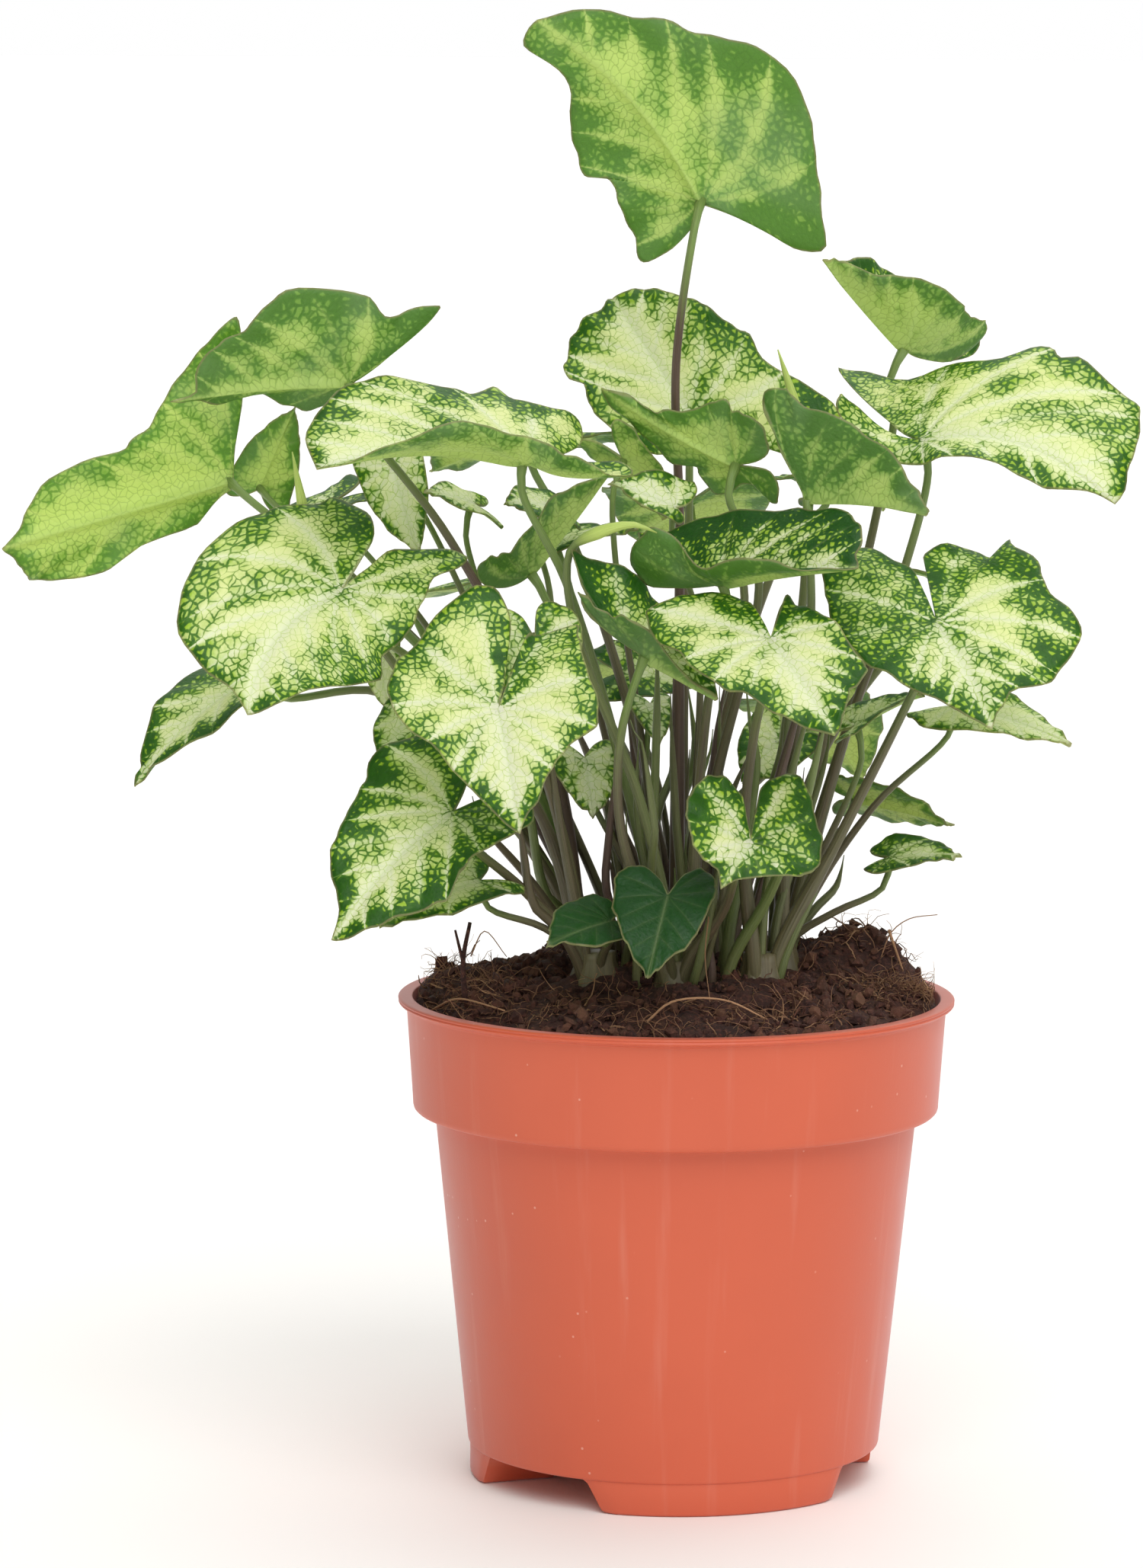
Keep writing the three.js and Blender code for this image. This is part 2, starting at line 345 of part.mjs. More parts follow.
    facing: [-0.2, 0.5, 0.85], half: [20, 20], lobe: [16, 16], via: [[-10, 30, 160], [-24, 40, 200]] },
  { name: 'leaf_44', stem: 'stem_back', junction: [2, 68, 205], tip: [4, 90, 186],
    facing: [0, 0.7, 0.7], half: [20, 20], lobe: [18, 18], arch: 30,
    via: [[8, 32, 150], [14, 50, 190]] },
  { name: 'leaf_45', stem: 'stem_right_back', junction: [62, 40, 190], tip: [82, 56, 174],
    facing: [0.5, 0.4, 0.8], half: [19, 19], lobe: [15, 15], arch: 30,
    via: [[30, 30, 150], [48, 38, 176]] },
  { name: 'leaf_46', stem: 'stem_left_back', junction: [-60, 50, 186], tip: [-82, 64, 170],
    facing: [-0.5, 0.4, 0.8], half: [19, 19], lobe: [15, 15], arch: 30,
    via: [[-30, 22, 145], [-50, 38, 168]] },
  { name: 'leaf_47', stem: 'stem_back', junction: [-20, 62, 170], tip: [-30, 78, 150],
    facing: [-0.2, 0.8, 0.6], half: [17, 17], lobe: [14, 14], arch: 30, via: [[-6, 36, 140]] },
  { name: 'leaf_48', stem: 'stem_back', junction: [30, 58, 160], tip: [42, 74, 142],
    facing: [0.2, 0.8, 0.6], half: [16, 16], lobe: [13, 13], arch: 30, via: [[12, 36, 140]] },
];

// ---------------------------------------------------------------- helpers

const degrees = THREE.MathUtils.degToRad;
const vector = (place) => new THREE.Vector3(...place);
const polar = (radius, azimuth, z = 0) =>
  new THREE.Vector3(radius * Math.cos(azimuth), radius * Math.sin(azimuth), z);

function toSolid(geometry) {
  const bare = geometry.clone();
  bare.deleteAttribute('normal');
  bare.deleteAttribute('uv');
  const merged = mergeVertices(bare, 1e-3);
  const mesh = (flip) => {
    const triVerts = new Uint32Array(merged.index.array);
    for (let i = 0; flip && i < triVerts.length; i += 3) {
      [triVerts[i + 1], triVerts[i + 2]] = [triVerts[i + 2], triVerts[i + 1]];
    }
    const vertProperties = merged.attributes.position.array;
    return new wasm.Manifold(new wasm.Mesh({ numProp: 3, vertProperties, triVerts }));
  };
  const solid = mesh(false);
  return solid.volume() < 0 ? mesh(true) : solid;
}

// A closed solid from a flat list of coordinates and a list of corner numbers.
function solidOf(positions, index) {
  const geometry = new THREE.BufferGeometry();
  geometry.setAttribute('position', new THREE.Float32BufferAttribute(positions, 3));
  geometry.setIndex(index);
  return toSolid(geometry);
}

function toGeometry(solid) {
  const mesh = solid.getMesh();
  const geometry = new THREE.BufferGeometry();
  geometry.setAttribute('position', new THREE.BufferAttribute(mesh.vertProperties, 3));
  geometry.setIndex(new THREE.BufferAttribute(mesh.triVerts, 1));
  return geometry;
}

// A solid of revolution about the upright axis, from a profile of [radius, z] pairs.
function turned(profile, sides) {
  const points = profile.map(([radius, z]) => new THREE.Vector2(radius, z));
  return toSolid(new THREE.LatheGeometry(points, sides).rotateX(Math.PI / 2));
}

function uprightCylinder(radius, bottomZ, topZ, sides, [x, y] = [0, 0]) {
  const geometry = new THREE.CylinderGeometry(radius, radius, topZ - bottomZ, sides);
  return toSolid(geometry.rotateX(Math.PI / 2).translate(x, y, (topZ + bottomZ) / 2));
}

// ---------------------------------------------------------------- pot

// A flat wedge of a ring, straight up from bottomZ to topZ, whose ends may slope.
function ringSector(inner, outer, azimuth, bottomSpan, topSpan, bottomZ, topZ) {
  const { steps } = FEET;
  const positions = [];
  const index = [];
  for (let step = 0; step <= steps; step += 1) {
    const share = step / steps - 0.5;
    const low = degrees(azimuth + share * bottomSpan);
    const high = degrees(azimuth + share * topSpan);
    positions.push(
      ...polar(inner, low, bottomZ), ...polar(outer, low, bottomZ),
      ...polar(outer, high, topZ), ...polar(inner, high, topZ),
    );
  }
  for (let step = 0; step < steps; step += 1) {
    for (let corner = 0; corner < 4; corner += 1) {
      const here = 4 * step + corner;
      const next = 4 * step + (corner + 1) % 4;
      index.push(here, next, next + 4, here, next + 4, here + 4);
    }
  }
  const last = 4 * steps;
  index.push(0, 2, 1, 0, 3, 2, last, last + 1, last + 2, last, last + 2, last + 3);
  return solidOf(positions, index);
}

// The radius of the pot's inside at a height: up the wall, and past the inner shelf up the collar.
const SHELF_Z = POT.collarBottomZ + POT.wall;
const FLOOR_TOP = FEET.height + FEET.floor;
function potInside(z) {
  const { mapLinear } = THREE.MathUtils;
  return z <= SHELF_Z
    ? mapLinear(z, FLOOR_TOP, SHELF_Z, POT.wallBottomRadius, POT.wallTopRadius) - POT.wall
    : mapLinear(z, SHELF_Z, POT.height, POT.collarBottomRadius, POT.collarTopRadius) - POT.wall;
}

function makePot() {
  const { rounding } = POT;
  const lipBottom = POT.height - POT.lipHeight;
  let pot = turned([
    [0, FEET.height],
    [POT.wallBottomRadius - 1.5 * rounding, FEET.height],
    [POT.wallBottomRadius, FEET.height + 1.5 * rounding],
    [POT.wallTopRadius, POT.collarBottomZ - 3 * rounding],
    [POT.wallTopRadius + rounding, POT.collarBottomZ],
    [POT.collarBottomRadius - 3 * rounding, POT.collarBottomZ],
    [POT.collarBottomRadius - rounding, POT.collarBottomZ + rounding],
    [POT.collarBottomRadius, POT.collarBottomZ + 4 * rounding],
    [POT.collarTopRadius, lipBottom - rounding],
    [POT.lipRadius - rounding, lipBottom],
    [POT.lipRadius, lipBottom + rounding],
    [POT.lipRadius, POT.height - rounding],
    [POT.lipRadius - rounding, POT.height],
    [potInside(POT.height), POT.height],
    [POT.collarBottomRadius - POT.wall, SHELF_Z],
    [potInside(SHELF_Z), SHELF_Z],
    [potInside(FLOOR_TOP), FLOOR_TOP],
    [0, FLOOR_TOP],
  ], POT.sides);
  for (let foot = 0; foot < FEET.count; foot += 1) {
    const azimuth = FEET.firstAzimuth + (foot * 360) / FEET.count;
    pot = pot.add(ringSector(FEET.innerRadius, FEET.outerRadius, azimuth,
      FEET.bottomSpan, FEET.topSpan, 0, FEET.height + rounding));
    const pocket = ringSector(FEET.innerRadius + POT.wall, FEET.outerRadius - POT.wall, azimuth,
      FEET.bottomSpan - 2 * FEET.endWall, FEET.topSpan - 2 * FEET.endWall,
      FEET.floor, FLOOR_TOP + rounding);
    pot = pot.subtract(pocket);
  }
  for (let hole = 0; hole < DRAIN.count; hole += 1) {
    const at = polar(DRAIN.circle, (hole * 2 * Math.PI) / DRAIN.count);
    const drill = uprightCylinder(DRAIN.radius, FEET.height - 1, FLOOR_TOP + 1, DRAIN.sides, [at.x, at.y]);
    pot = pot.subtract(drill);
  }
  return pot;
}

// ---------------------------------------------------------------- soil

// The mounded surface: highest behind the middle, with low lumps, and lowest against the rim.
function soilSurface(x, y) {
  const share = Math.hypot(x, y) / POT.collarTopRadius;
  const dome = (SOIL.crownZ - SOIL.edgeZ) * (1 - share ** 2.5);
  const lumps = Math.sin(0.21 * x + 1.1) * Math.cos(0.17 * y - 0.4) + 0.7 * Math.sin(0.13 * x - 0.26 * y);
  const rear = SOIL.rise * THREE.MathUtils.smoothstep(y, -10, 40) * (1 - share ** 4);
  return SOIL.edgeZ + dome + rear + SOIL.lump * lumps * (1 - share ** 6);
}

function makeSoil() {
  const { gap } = SOIL;
  const floorZ = FLOOR_TOP + gap;
  const rimZ = SOIL.edgeZ - SOIL.edgeDrop;
  const topRadius = potInside(rimZ) - gap;
  const outer = [
    [potInside(floorZ) - gap, floorZ],
    [potInside(SHELF_Z) - gap, SHELF_Z + gap],
    [POT.collarBottomRadius - POT.wall - gap, SHELF_Z + gap],
    [topRadius, rimZ],
  ];
  const positions = [0, 0, floorZ];
  const index = [];
  const rows = outer.length + SOIL.rings;
  for (let row = 0; row < rows; row += 1) {
    for (let side = 0; side < POT.sides; side += 1) {
      const azimuth = (side * 2 * Math.PI) / POT.sides;
      if (row < outer.length) {
        positions.push(...polar(outer[row][0], azimuth, outer[row][1]));
      } else {
        const share = 1 - (row - outer.length) / SOIL.rings;
        const at = polar(topRadius * share, azimuth);
        positions.push(at.x, at.y, soilSurface(at.x, at.y));
      }
    }
  }
  positions.push(0, 0, soilSurface(0, 0));
  const top = positions.length / 3 - 1;
  for (let side = 0; side < POT.sides; side += 1) {
    const next = (side + 1) % POT.sides;
    index.push(0, 1 + next, 1 + side);
    for (let row = 0; row < rows - 1; row += 1) {
      const here = 1 + row * POT.sides;
      index.push(here + side, here + next, here + POT.sides + next);
      index.push(here + side, here + POT.sides + next, here + POT.sides + side);
    }
    const inner = 1 + (rows - 1) * POT.sides;
    index.push(inner + side, inner + next, top);
  }
  let soil = solidOf(positions, index);
  for (const { at, radius, topZ } of Object.values(STEMS)) {
    const hole = uprightCylinder(radius + CROWN.soilGap, CROWN.bottomZ - CROWN.soilGap, topZ + 10,
      CROWN.sides, at);
    soil = soil.subtract(hole);
  }
  return soil;
}

// ---------------------------------------------------------------- blades

// A smooth curve through a side's points, at a share of its length from 0 at the tip to 1.
function sidePoint(side, share) {
  const place = share * (side.length - 1);
  const from = Math.min(Math.floor(place), side.length - 2);
  const t = place - from;
  const pick = (i) => side[THREE.MathUtils.clamp(i, 0, side.length - 1)];
  const [before, start, end, after] = [pick(from - 1), pick(from), pick(from + 1), pick(from + 2)];
  return [0, 1].map((axis) => 0.5 * (2 * start[axis] + (end[axis] - before[axis]) * t
    + (2 * before[axis] - 5 * start[axis] + 4 * end[axis] - after[axis]) * t * t
    + (3 * start[axis] - before[axis] - 3 * end[axis] + after[axis]) * t * t * t));
}

// The inner end of the cut between the lobes, halfway between the two margins that meet there.
function notchPoint(leaf) {
  const nearest = (own) => new THREE.Vector2(...(own ? own[own.length - 1] : [-1, 0])).normalize();
  const left = nearest(leaf.left);
  const right = nearest(leaf.right);
  return new THREE.Vector2(left.x + right.x, left.y - right.y).setLength(BLADE.notch);
}

// The flat outline at turn: 0 at the tip, 0.5 at the notch, on the left side and back on the right.
function outlinePoint(leaf, turn) {
  const left = turn <= 0.5;
  const share = left ? 2 * turn : 2 - 2 * turn;
  const own = left ? leaf.left : leaf.right;
  if (own) {
    const [notchX, notchY] = notchPoint(leaf);
    const end = [notchX, left ? notchY : -notchY];
    const [ownX, ownY] = sidePoint([[leaf.front, 0], ...own, end], share);
    return [ownX, left ? ownY : -ownY];
  }
  const heart = sidePoint(HEART_SIDE, share);
  const arrow = sidePoint(ARROW_SIDE, share);
  const side = left ? 0 : 1;
  const x = THREE.MathUtils.lerp(heart[0], arrow[0], leaf.arrow[side]);
  const y = THREE.MathUtils.lerp(heart[1], arrow[1], leaf.arrow[side]);
  const along = x * (x > 0 ? leaf.front : leaf.lobe[side]);
  const width = leaf.half[side] * (1 - leaf.taper[side] * Math.max(x, 0));
  return [along, left ? y * width : -y * width];
}

// The midrib's place, direction and left side at a distance from the junction, in the blade's own
// frame: x toward the tip, y to the left, z up out of the upper side. Behind the junction it carries
// a lobe.
function midrib(leaf, along, side) {
  const steps = 12;
  const back = along < 0;
  const reach = back ? leaf.lobe[side] : leaf.front;
  const bend = degrees(back ? leaf.droop[side] : leaf.arch);
  const sweep = degrees(back ? leaf.swing : leaf.sweep);
  const share = Math.abs(along) / reach;
  const heading = (part) => {
    const pitch = -bend * share * part;
    const turn = sweep * share * part;
    const ahead = Math.cos(pitch) * Math.cos(turn);
    return new THREE.Vector3(back ? -ahead : ahead, Math.cos(pitch) * Math.sin(turn), Math.sin(pitch));
  };
  const place = new THREE.Vector3();
  for (let step = 0; step < steps; step += 1) {
    place.addScaledVector(heading((step + 0.5) / steps), Math.abs(along) / steps);
  }
  const turn = back ? -sweep * share : sweep * share;
  const leftward = new THREE.Vector3(-Math.sin(turn), Math.cos(turn), 0);
  return { place, direction: heading(1).multiplyScalar(back ? -1 : 1), leftward };
}

// A point of the blade's middle surface: along the midrib, then across on one side of it, and off
// the surface by the height of the margin's wave.
function surfacePoint(leaf, along, across, side, wave = 0) {
  const { back, ahead } = BLADE.raiseSpan;
  const lobeShare = THREE.MathUtils.smoothstep(-along, -ahead, back);
  const lobeFold = (leaf.raise ?? leaf.fold)[side];
  const start = degrees(THREE.MathUtils.lerp(leaf.fold[side], lobeFold, lobeShare));
  const rate = degrees(leaf.cup[side]) / leaf.half[side];
  const end = start + rate * across;
  const flat = Math.abs(rate) < 1e-6;
  const out = flat ? across * Math.cos(start) : (Math.sin(end) - Math.sin(start)) / rate;
  const up = flat ? across * Math.sin(start) : (Math.cos(start) - Math.cos(end)) / rate;
  const { place, direction, leftward } = midrib(leaf, along, side);
  const upward = new THREE.Vector3().crossVectors(direction, leftward);
  return place.addScaledVector(leftward, side === 0 ? out : -out).addScaledVector(upward, up + wave);
}

// The way out of the upper side at a place on one half.
function halfNormal(leaf, along, across, side) {
  const step = along < 0 ? -BLADE.probe : BLADE.probe;
  const here = surfacePoint(leaf, along, across, side);
  const ahead = surfacePoint(leaf, along + step, across, side).sub(here).divideScalar(step);
  const outward = surfacePoint(leaf, along, across + BLADE.probe, side).sub(here);
  const normal = new THREE.Vector3().crossVectors(ahead, outward).normalize();
  return side === 0 ? normal : normal.negate();
}

// The direction of the blade's thickness. Close to the midrib it turns into the mean of the two
// halves' own directions, so that the faces of a folded blade stay apart.
function thicknessDirection(leaf, along, across, side) {
  const seam = halfNormal(leaf, along, 0, 0).add(halfNormal(leaf, along, 0, 1)).normalize();
  const share = THREE.MathUtils.smoothstep(Math.abs(across), 0, BLADE.seam);
  return seam.lerp(halfNormal(leaf, along, across, side), share).normalize();
}

// A corner of the blade and its direction of thickness: share runs from 0 at the junction to 1 at
// the margin.
function bladeCorner(leaf, turn, share) {
  const [edgeX, edgeY] = outlinePoint(leaf, turn);
  const side = turn <= 0.5 ? 0 : 1;
  const along = edgeX * share;
  const across = (side === 0 ? edgeY : -edgeY) * share;
  const [height, count, phase] = leaf.wave;
  const rim = share ** 2 * Math.min(1, Math.abs(across) / BLADE.flatRim);
  const wave = height * rim * Math.sin(2 * Math.PI * count * turn + phase);
  return {
    place: surfacePoint(leaf, along, across, side, wave),
    normal: thicknessDirection(leaf, along, across, side),
  };
}

// A row with the plain values filled in, and the length of midrib ahead of the stalk that takes its
// bent chord from the junction to the tip.
function completeLeaf(row) {
  const leaf = { ...PLAIN, ...row, front: 1 };
  const chord = vector(leaf.tip).distanceTo(vector(leaf.junction));
  return { ...leaf, front: chord / midrib(leaf, 1, 0).place.length() };
}

const LEAVES = LEAF_ROWS.map(completeLeaf);

// The turn of the blade's frame that points its chord at the tip and its upper side at facing.
function bladeFrame(leaf) {
  const basis = (ahead, upHint) => {
    const x = ahead.clone().normalize();
    const z = upHint.clone().addScaledVector(x, -upHint.dot(x)).normalize();
    return new THREE.Matrix4().makeBasis(x, new THREE.Vector3().crossVectors(z, x), z);
  };
  const own = basis(midrib(leaf, leaf.front, 0).place, new THREE.Vector3(0, 0, 1));
  const world = basis(vector(leaf.tip).sub(vector(leaf.junction)), vector(leaf.facing));
  return world.multiply(own.transpose()).setPosition(vector(leaf.junction));
}

function makeBlade(leaf) {
  const frame = bladeFrame(leaf);
  const kind = leaf.left || leaf.right ? 'own' : leaf.small ? 'small' : 'plain';
  const { rays, rings } = BLADE[kind];
  const corners = [bladeCorner(leaf, 0, 0)];
  for (let ray = 0; ray < rays; ray += 1) {
    for (let ring = 1; ring <= rings; ring += 1) {
      corners.push(bladeCorner(leaf, ray / rays, ring / rings));
    }
  }
  const faces = [];
  for (let ray = 0; ray < rays; ray += 1) {
    const here = 1 + ray * rings;
    const next = 1 + ((ray + 1) % rays) * rings;
    faces.push([0, here, next]);
    for (let ring = 0; ring < rings - 1; ring += 1) {
      faces.push([here + ring, here + ring + 1, next + ring + 1]);
      faces.push([here + ring, next + ring + 1, next + ring]);
    }
  }
  const positions = [];
  for (const sign of [0.5, -0.5]) {
    corners.forEach(({ place, normal }) => {
      const face = place.clone().addScaledVector(normal, sign * BLADE.thickness);
      positions.push(...face.applyMatrix4(frame));
    });
  }
  const under = corners.length;
  const index = faces.flat();
  faces.forEach(([a, b, c]) => index.push(a + under, c + under, b + under));
  for (let ray = 0; ray < rays; ray += 1) {
    const here = (ray + 1) * rings;
    const next = ((ray + 1) % rays + 1) * rings;
    index.push(here, here + under, next + under, here, next + under, next);
  }
  return solidOf(positions, index);
}

// ---------------------------------------------------------------- stalks and stems

// The line that a leaf's stalk follows, from inside the stem's crown to just under the blade.
function stalkCurve(leaf) {
  const { at, topZ } = STEMS[leaf.stem];
  const normal = new THREE.Vector3().setFromMatrixColumn(bladeFrame(leaf), 2);
  const route = leaf.via.map(vector);
  const lean = new THREE.Vector3(route[0].x - at[0], route[0].y - at[1], 0).clampLength(0, STALK.mostLean);
  const foot = vector([...at, STALK.footZ]).addScaledVector(lean, STALK.footLean);
  const collar = vector([...at, topZ - 1]).addScaledVector(lean, STALK.collarLean);
  const seat = vector(leaf.junction).addScaledVector(normal, -STALK.seat);
  const towards = route[route.length - 1].clone().sub(seat).normalize().sub(normal).normalize();
  const approach = seat.clone().addScaledVector(towards, STALK.approach);
  return new THREE.CatmullRomCurve3([foot, collar, ...route, approach, seat]);
}

function makeStalk(leaf) {
  const curve = stalkCurve(leaf);
  const steps = Math.ceil(curve.getLength() / STALK.stepLength) + 2;
  const { normals, binormals } = curve.computeFrenetFrames(steps, false);
  const positions = [];
  for (let step = 0; step <= steps; step += 1) {
    const share = step / steps;
    const centre = curve.getPointAt(share);
    const radius = THREE.MathUtils.lerp(STALK.baseRadius, STALK.tipRadius, share ** 0.7);
    for (let side = 0; side < STALK.sides; side += 1) {
      const angle = (side * 2 * Math.PI) / STALK.sides;
      const point = centre.clone().addScaledVector(normals[step], radius * Math.cos(angle));
      positions.push(...point.addScaledVector(binormals[step], radius * Math.sin(angle)));
    }
  }
  const start = positions.length / 3;
  positions.push(...curve.getPointAt(0), ...curve.getPointAt(1));
  const index = [];
  for (let side = 0; side < STALK.sides; side += 1) {
    const next = (side + 1) % STALK.sides;
    for (let step = 0; step < steps; step += 1) {
      const low = step * STALK.sides;
      const high = low + STALK.sides;
      index.push(low + side, low + next, high + next, low + side, high + next, high + side);
    }
    const top = steps * STALK.sides;
    index.push(start, next, side, start + 1, top + side, top + next);
  }
  return solidOf(positions, index);
}

function makeStem(name) {
  const { at, radius, topZ } = STEMS[name];
  const { bottomZ, chamfer, shoulder, shoulderRadius, domeRise } = CROWN;
  let stem = turned([
    [0, bottomZ],
    [radius * shoulderRadius, bottomZ],
    [radius, bottomZ + chamfer],
    [radius, topZ - shoulder],
    [radius * shoulderRadius, topZ - domeRise],
    [0, topZ],
  ], CROWN.sides).translate([at[0], at[1], 0]);
  for (const leaf of LEAVES.filter((each) => each.stem === name)) {
    stem = stem.add(makeStalk(leaf));
  }
  return stem;
}

// ---------------------------------------------------------------- assembly

const finish = (color, roughness) => new THREE.MeshStandardMaterial({ color, roughness, metalness: 0 });
const MATERIALS = {
  pot: finish(0xc9603f, 0.45),
  soil: finish(0x2f1c14, 0.95),
  stalk: finish(0x7a6a50, 0.55),
  blade: finish(0x8fb64a, 0.5),
};

const plant = new THREE.Group();
function addPiece(name, solid, material) {
  const mesh = new THREE.Mesh(toGeometry(solid), material);
  mesh.name = name;
  plant.add(mesh);
}

addPiece('pot', makePot(), MATERIALS.pot);
addPiece('soil', makeSoil(), MATERIALS.soil);
Object.keys(STEMS).forEach((name) => addPiece(name, makeStem(name), MATERIALS.stalk));
LEAVES.forEach((leaf) => addPiece(leaf.name, makeBlade(leaf), MATERIALS.blade));

// Stands the group on z = 0 with the middle of its box over the origin.
const box = new THREE.Box3().setFromObject(plant);
const middle = box.getCenter(new THREE.Vector3());
plant.position.set(-middle.x, -middle.y, -box.min.z);

export default plant;
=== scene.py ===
"""Arrowhead plant in a plastic nursery pot: the looks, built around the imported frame.

Places are in millimetres from the pot's axis, with z = 0 on the surface that the pot stands on, as in the
part's own source. place() takes them to the row frame, in metres.
"""
import math
from itertools import combinations
from types import SimpleNamespace as Sizes

import bpy
import numpy as np
from mathutils import Matrix, Vector, noise
from mathutils.kdtree import KDTree


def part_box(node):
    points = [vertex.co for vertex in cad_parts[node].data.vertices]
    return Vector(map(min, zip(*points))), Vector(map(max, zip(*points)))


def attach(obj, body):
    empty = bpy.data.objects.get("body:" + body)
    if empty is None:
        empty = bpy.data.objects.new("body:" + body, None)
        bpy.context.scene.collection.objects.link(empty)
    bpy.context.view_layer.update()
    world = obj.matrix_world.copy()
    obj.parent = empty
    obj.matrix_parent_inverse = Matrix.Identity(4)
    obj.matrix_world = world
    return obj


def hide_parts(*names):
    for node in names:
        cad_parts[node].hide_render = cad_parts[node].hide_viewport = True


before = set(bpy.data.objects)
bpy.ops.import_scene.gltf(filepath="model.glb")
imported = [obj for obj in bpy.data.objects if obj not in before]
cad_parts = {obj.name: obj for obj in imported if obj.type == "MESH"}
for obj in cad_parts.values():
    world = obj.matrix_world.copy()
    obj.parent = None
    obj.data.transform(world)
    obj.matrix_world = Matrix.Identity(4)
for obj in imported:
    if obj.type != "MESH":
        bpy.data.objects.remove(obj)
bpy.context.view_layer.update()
BODY = "root"
MM = 0.001
TINY = 1e-12
ROUND = 2 * math.pi

# ---------------------------------------------------------------- driving dimensions

# Lengths are in millimetres and angles in degrees. The rest are counts and shares.
POT = Sizes(height=104.5, lip_radius=60, lip_height=1.3, collar_top=58.1, collar_bottom=56.6, collar_z=80,
            wall_top=51.9, wall_bottom=44.5, wall=1.3, sides=160, sharp=35, drains=6, drain=3.5, drain_at=16)
FEET = Sizes(count=3, height=7, outer=44.1, inner=27, first=-74.5, top_span=81, bottom_span=70, floor=1.4)
SOIL = Sizes(gap=0.4, edge_z=99.5, crown_z=111, rise=2.5, lump=1.4, sides=220, rings=60, skirt=3.5)
BLADE = Sizes(thickness=0.6, rays=120, rings=16, flat_rim=6, notch=1, raise_back=6, raise_ahead=4, seam=2.5,
              probe=0.05, straight=1e-6, steps=12, thin_rim=0.6, centre=0.001, seed_step=7.3)
# The side veins' course, and how many fit ahead of the stalk.
VEINS = Sizes(lean=46, bow=0.014, count=4.2, lobe_lean=34)
# A blade's relief: first the sizes that are shares of its half width, then those in millimetres.
RELIEF = Sizes(pucker=0.022, pucker_margin=0.3, pucker_midrib=0.25, groove=0.02, rib=0.045, rib_width=0.035,
               least_rib=0.1, least_width=0.2, rib_behind=1, groove_width=1.2, groove_margin=5)
# The margin's nicks and ruffles: height, counts round the blade, and how far from the stalk they set in.
RIM = Sizes(nick=0.45, nicks=(11, 17, 29), ruffle=0.7, ruffles=(13, 5), grows=(6, 14))
STALK = Sizes(sides=10, tip=0.95, base=1.7, taper=1.3, seat=0.2, approach=7, step=3, foot_z=101,
              foot_lean=0.7, collar_lean=1.2, most_lean=2.6, sheath=0.45, sheath_end=(0.2, 0.45), flare=0.5,
              flare_length=3, flat=0.86, small=0.75, seed_step=3.1)
# Young leaves still rolled up, beside the stalks of a stem: how many, how high their tips reach, how far off
# the stem of the stalk on their other side may be, and how far they keep from every blade.
SHOOTS = Sizes(count=8, tries=4, heights=(132, 188), reach=24, clear=3, between=(0.3, 0.7), stray=1.6,
               rings=26, flat=0.7, thick=(1.5, 2.1), tapers=0.45, point_from=0.72, point=0.86,
               brown=(0.3, 1.2))
SPEAR = Sizes(stalk=0.9, base=0.7, rolled=1.5, length=20, unrolls=6, taper=13, point=0.06, brown=0.5)
STEM = Sizes(foot_z=92, rings=14, sides=24, shoulder=8, swell=0.97, narrows=0.35, share=0.05, length=20,
             brown=0.9)
# Ripples round a stem: height, count, phase and twist with the height.
RIPPLES = ((0.13, 5, 2, 0), (0.06, 9, 0, 0.05))
CAMERA = Sizes(place=(0, -1320, 311.5), turned_left=0.99, tilted_down=6.97, rolled=0.293, lens=142.2, film=36)

# The short stems that the leaf stalks grow from: place in the soil, radius, height of the crown.
STEMS = {f"stem_{name}": Sizes(at=at, radius=radius, top=top) for name, at, radius, top in (
    ("left_front", (-17, -15), 6.2, 115), ("left_back", (-18, 5), 6.2, 116),
    ("centre_front", (0, -20), 5.6, 114), ("centre", (0, -1), 6.6, 117),
    ("right_front", (18, -15), 5.6, 115), ("right_back", (21, 5), 6.6, 116), ("back", (1, 19), 6.2, 116))}

# Leaves on long stalks that are still rolled to a pale spear: the stem of each and the points that it passes.
SPEARS = dict(
    stem_right_back=((22, 6, 150), (27, 7, 195), (26.5, 6, 222), (24, 5, 233), (20.7, 5, 243.3)),
    stem_left_back=((-42, 0, 150), (-68, -4, 186), (-79, -5, 203), (-80.5, -5, 211), (-82.5, -5, 221.5)),
    stem_centre_front=((-8, -25, 150), (-22, -22, 186), (-23, -23, 202), (-17, -28, 206.5),
                       (-9.4, -30, 208.4), (-4.7, -30, 206.7)))

# One side of a blade's outline, from the tip to the notch behind the stalk. x counts lengths of the front
# part ahead of the stalk and lengths of the lobes behind it, y counts half widths.
HEART_SIDE = ((1, 0), (0.95, 0.06), (0.86, 0.2), (0.72, 0.44), (0.54, 0.68), (0.34, 0.86), (0.08, 0.97),
              (-0.25, 1), (-0.6, 0.92), (-0.9, 0.68), (-1, 0.4), (-0.8, 0.16), (-0.35, 0.045), (-0.1, 0))
ARROW_SIDE = ((1, 0), (0.94, 0.07), (0.84, 0.22), (0.67, 0.44), (0.47, 0.62), (0.23, 0.74), (-0.02, 0.79),
              (-0.28, 0.86), (-0.6, 0.94), (-0.9, 1), (-1, 0.95), (-0.6, 0.55), (-0.28, 0.18), (-0.1, 0))

# A leaf's own values, where its row gives none, as in the part's source. The last four are looks: how far the
# cream spreads, how much painted backlight lightens the underside, how dark the green is and how brown the
# stalk is.
PLAIN = dict(arrow=0.4, taper=0, left=None, right=None, fold=4, cup=0, arch=20, droop=5, sweep=0, swing=0,
             wave=1, small=False, cream=0.3, glow=0.2, dark=0.2, brown=0.8)


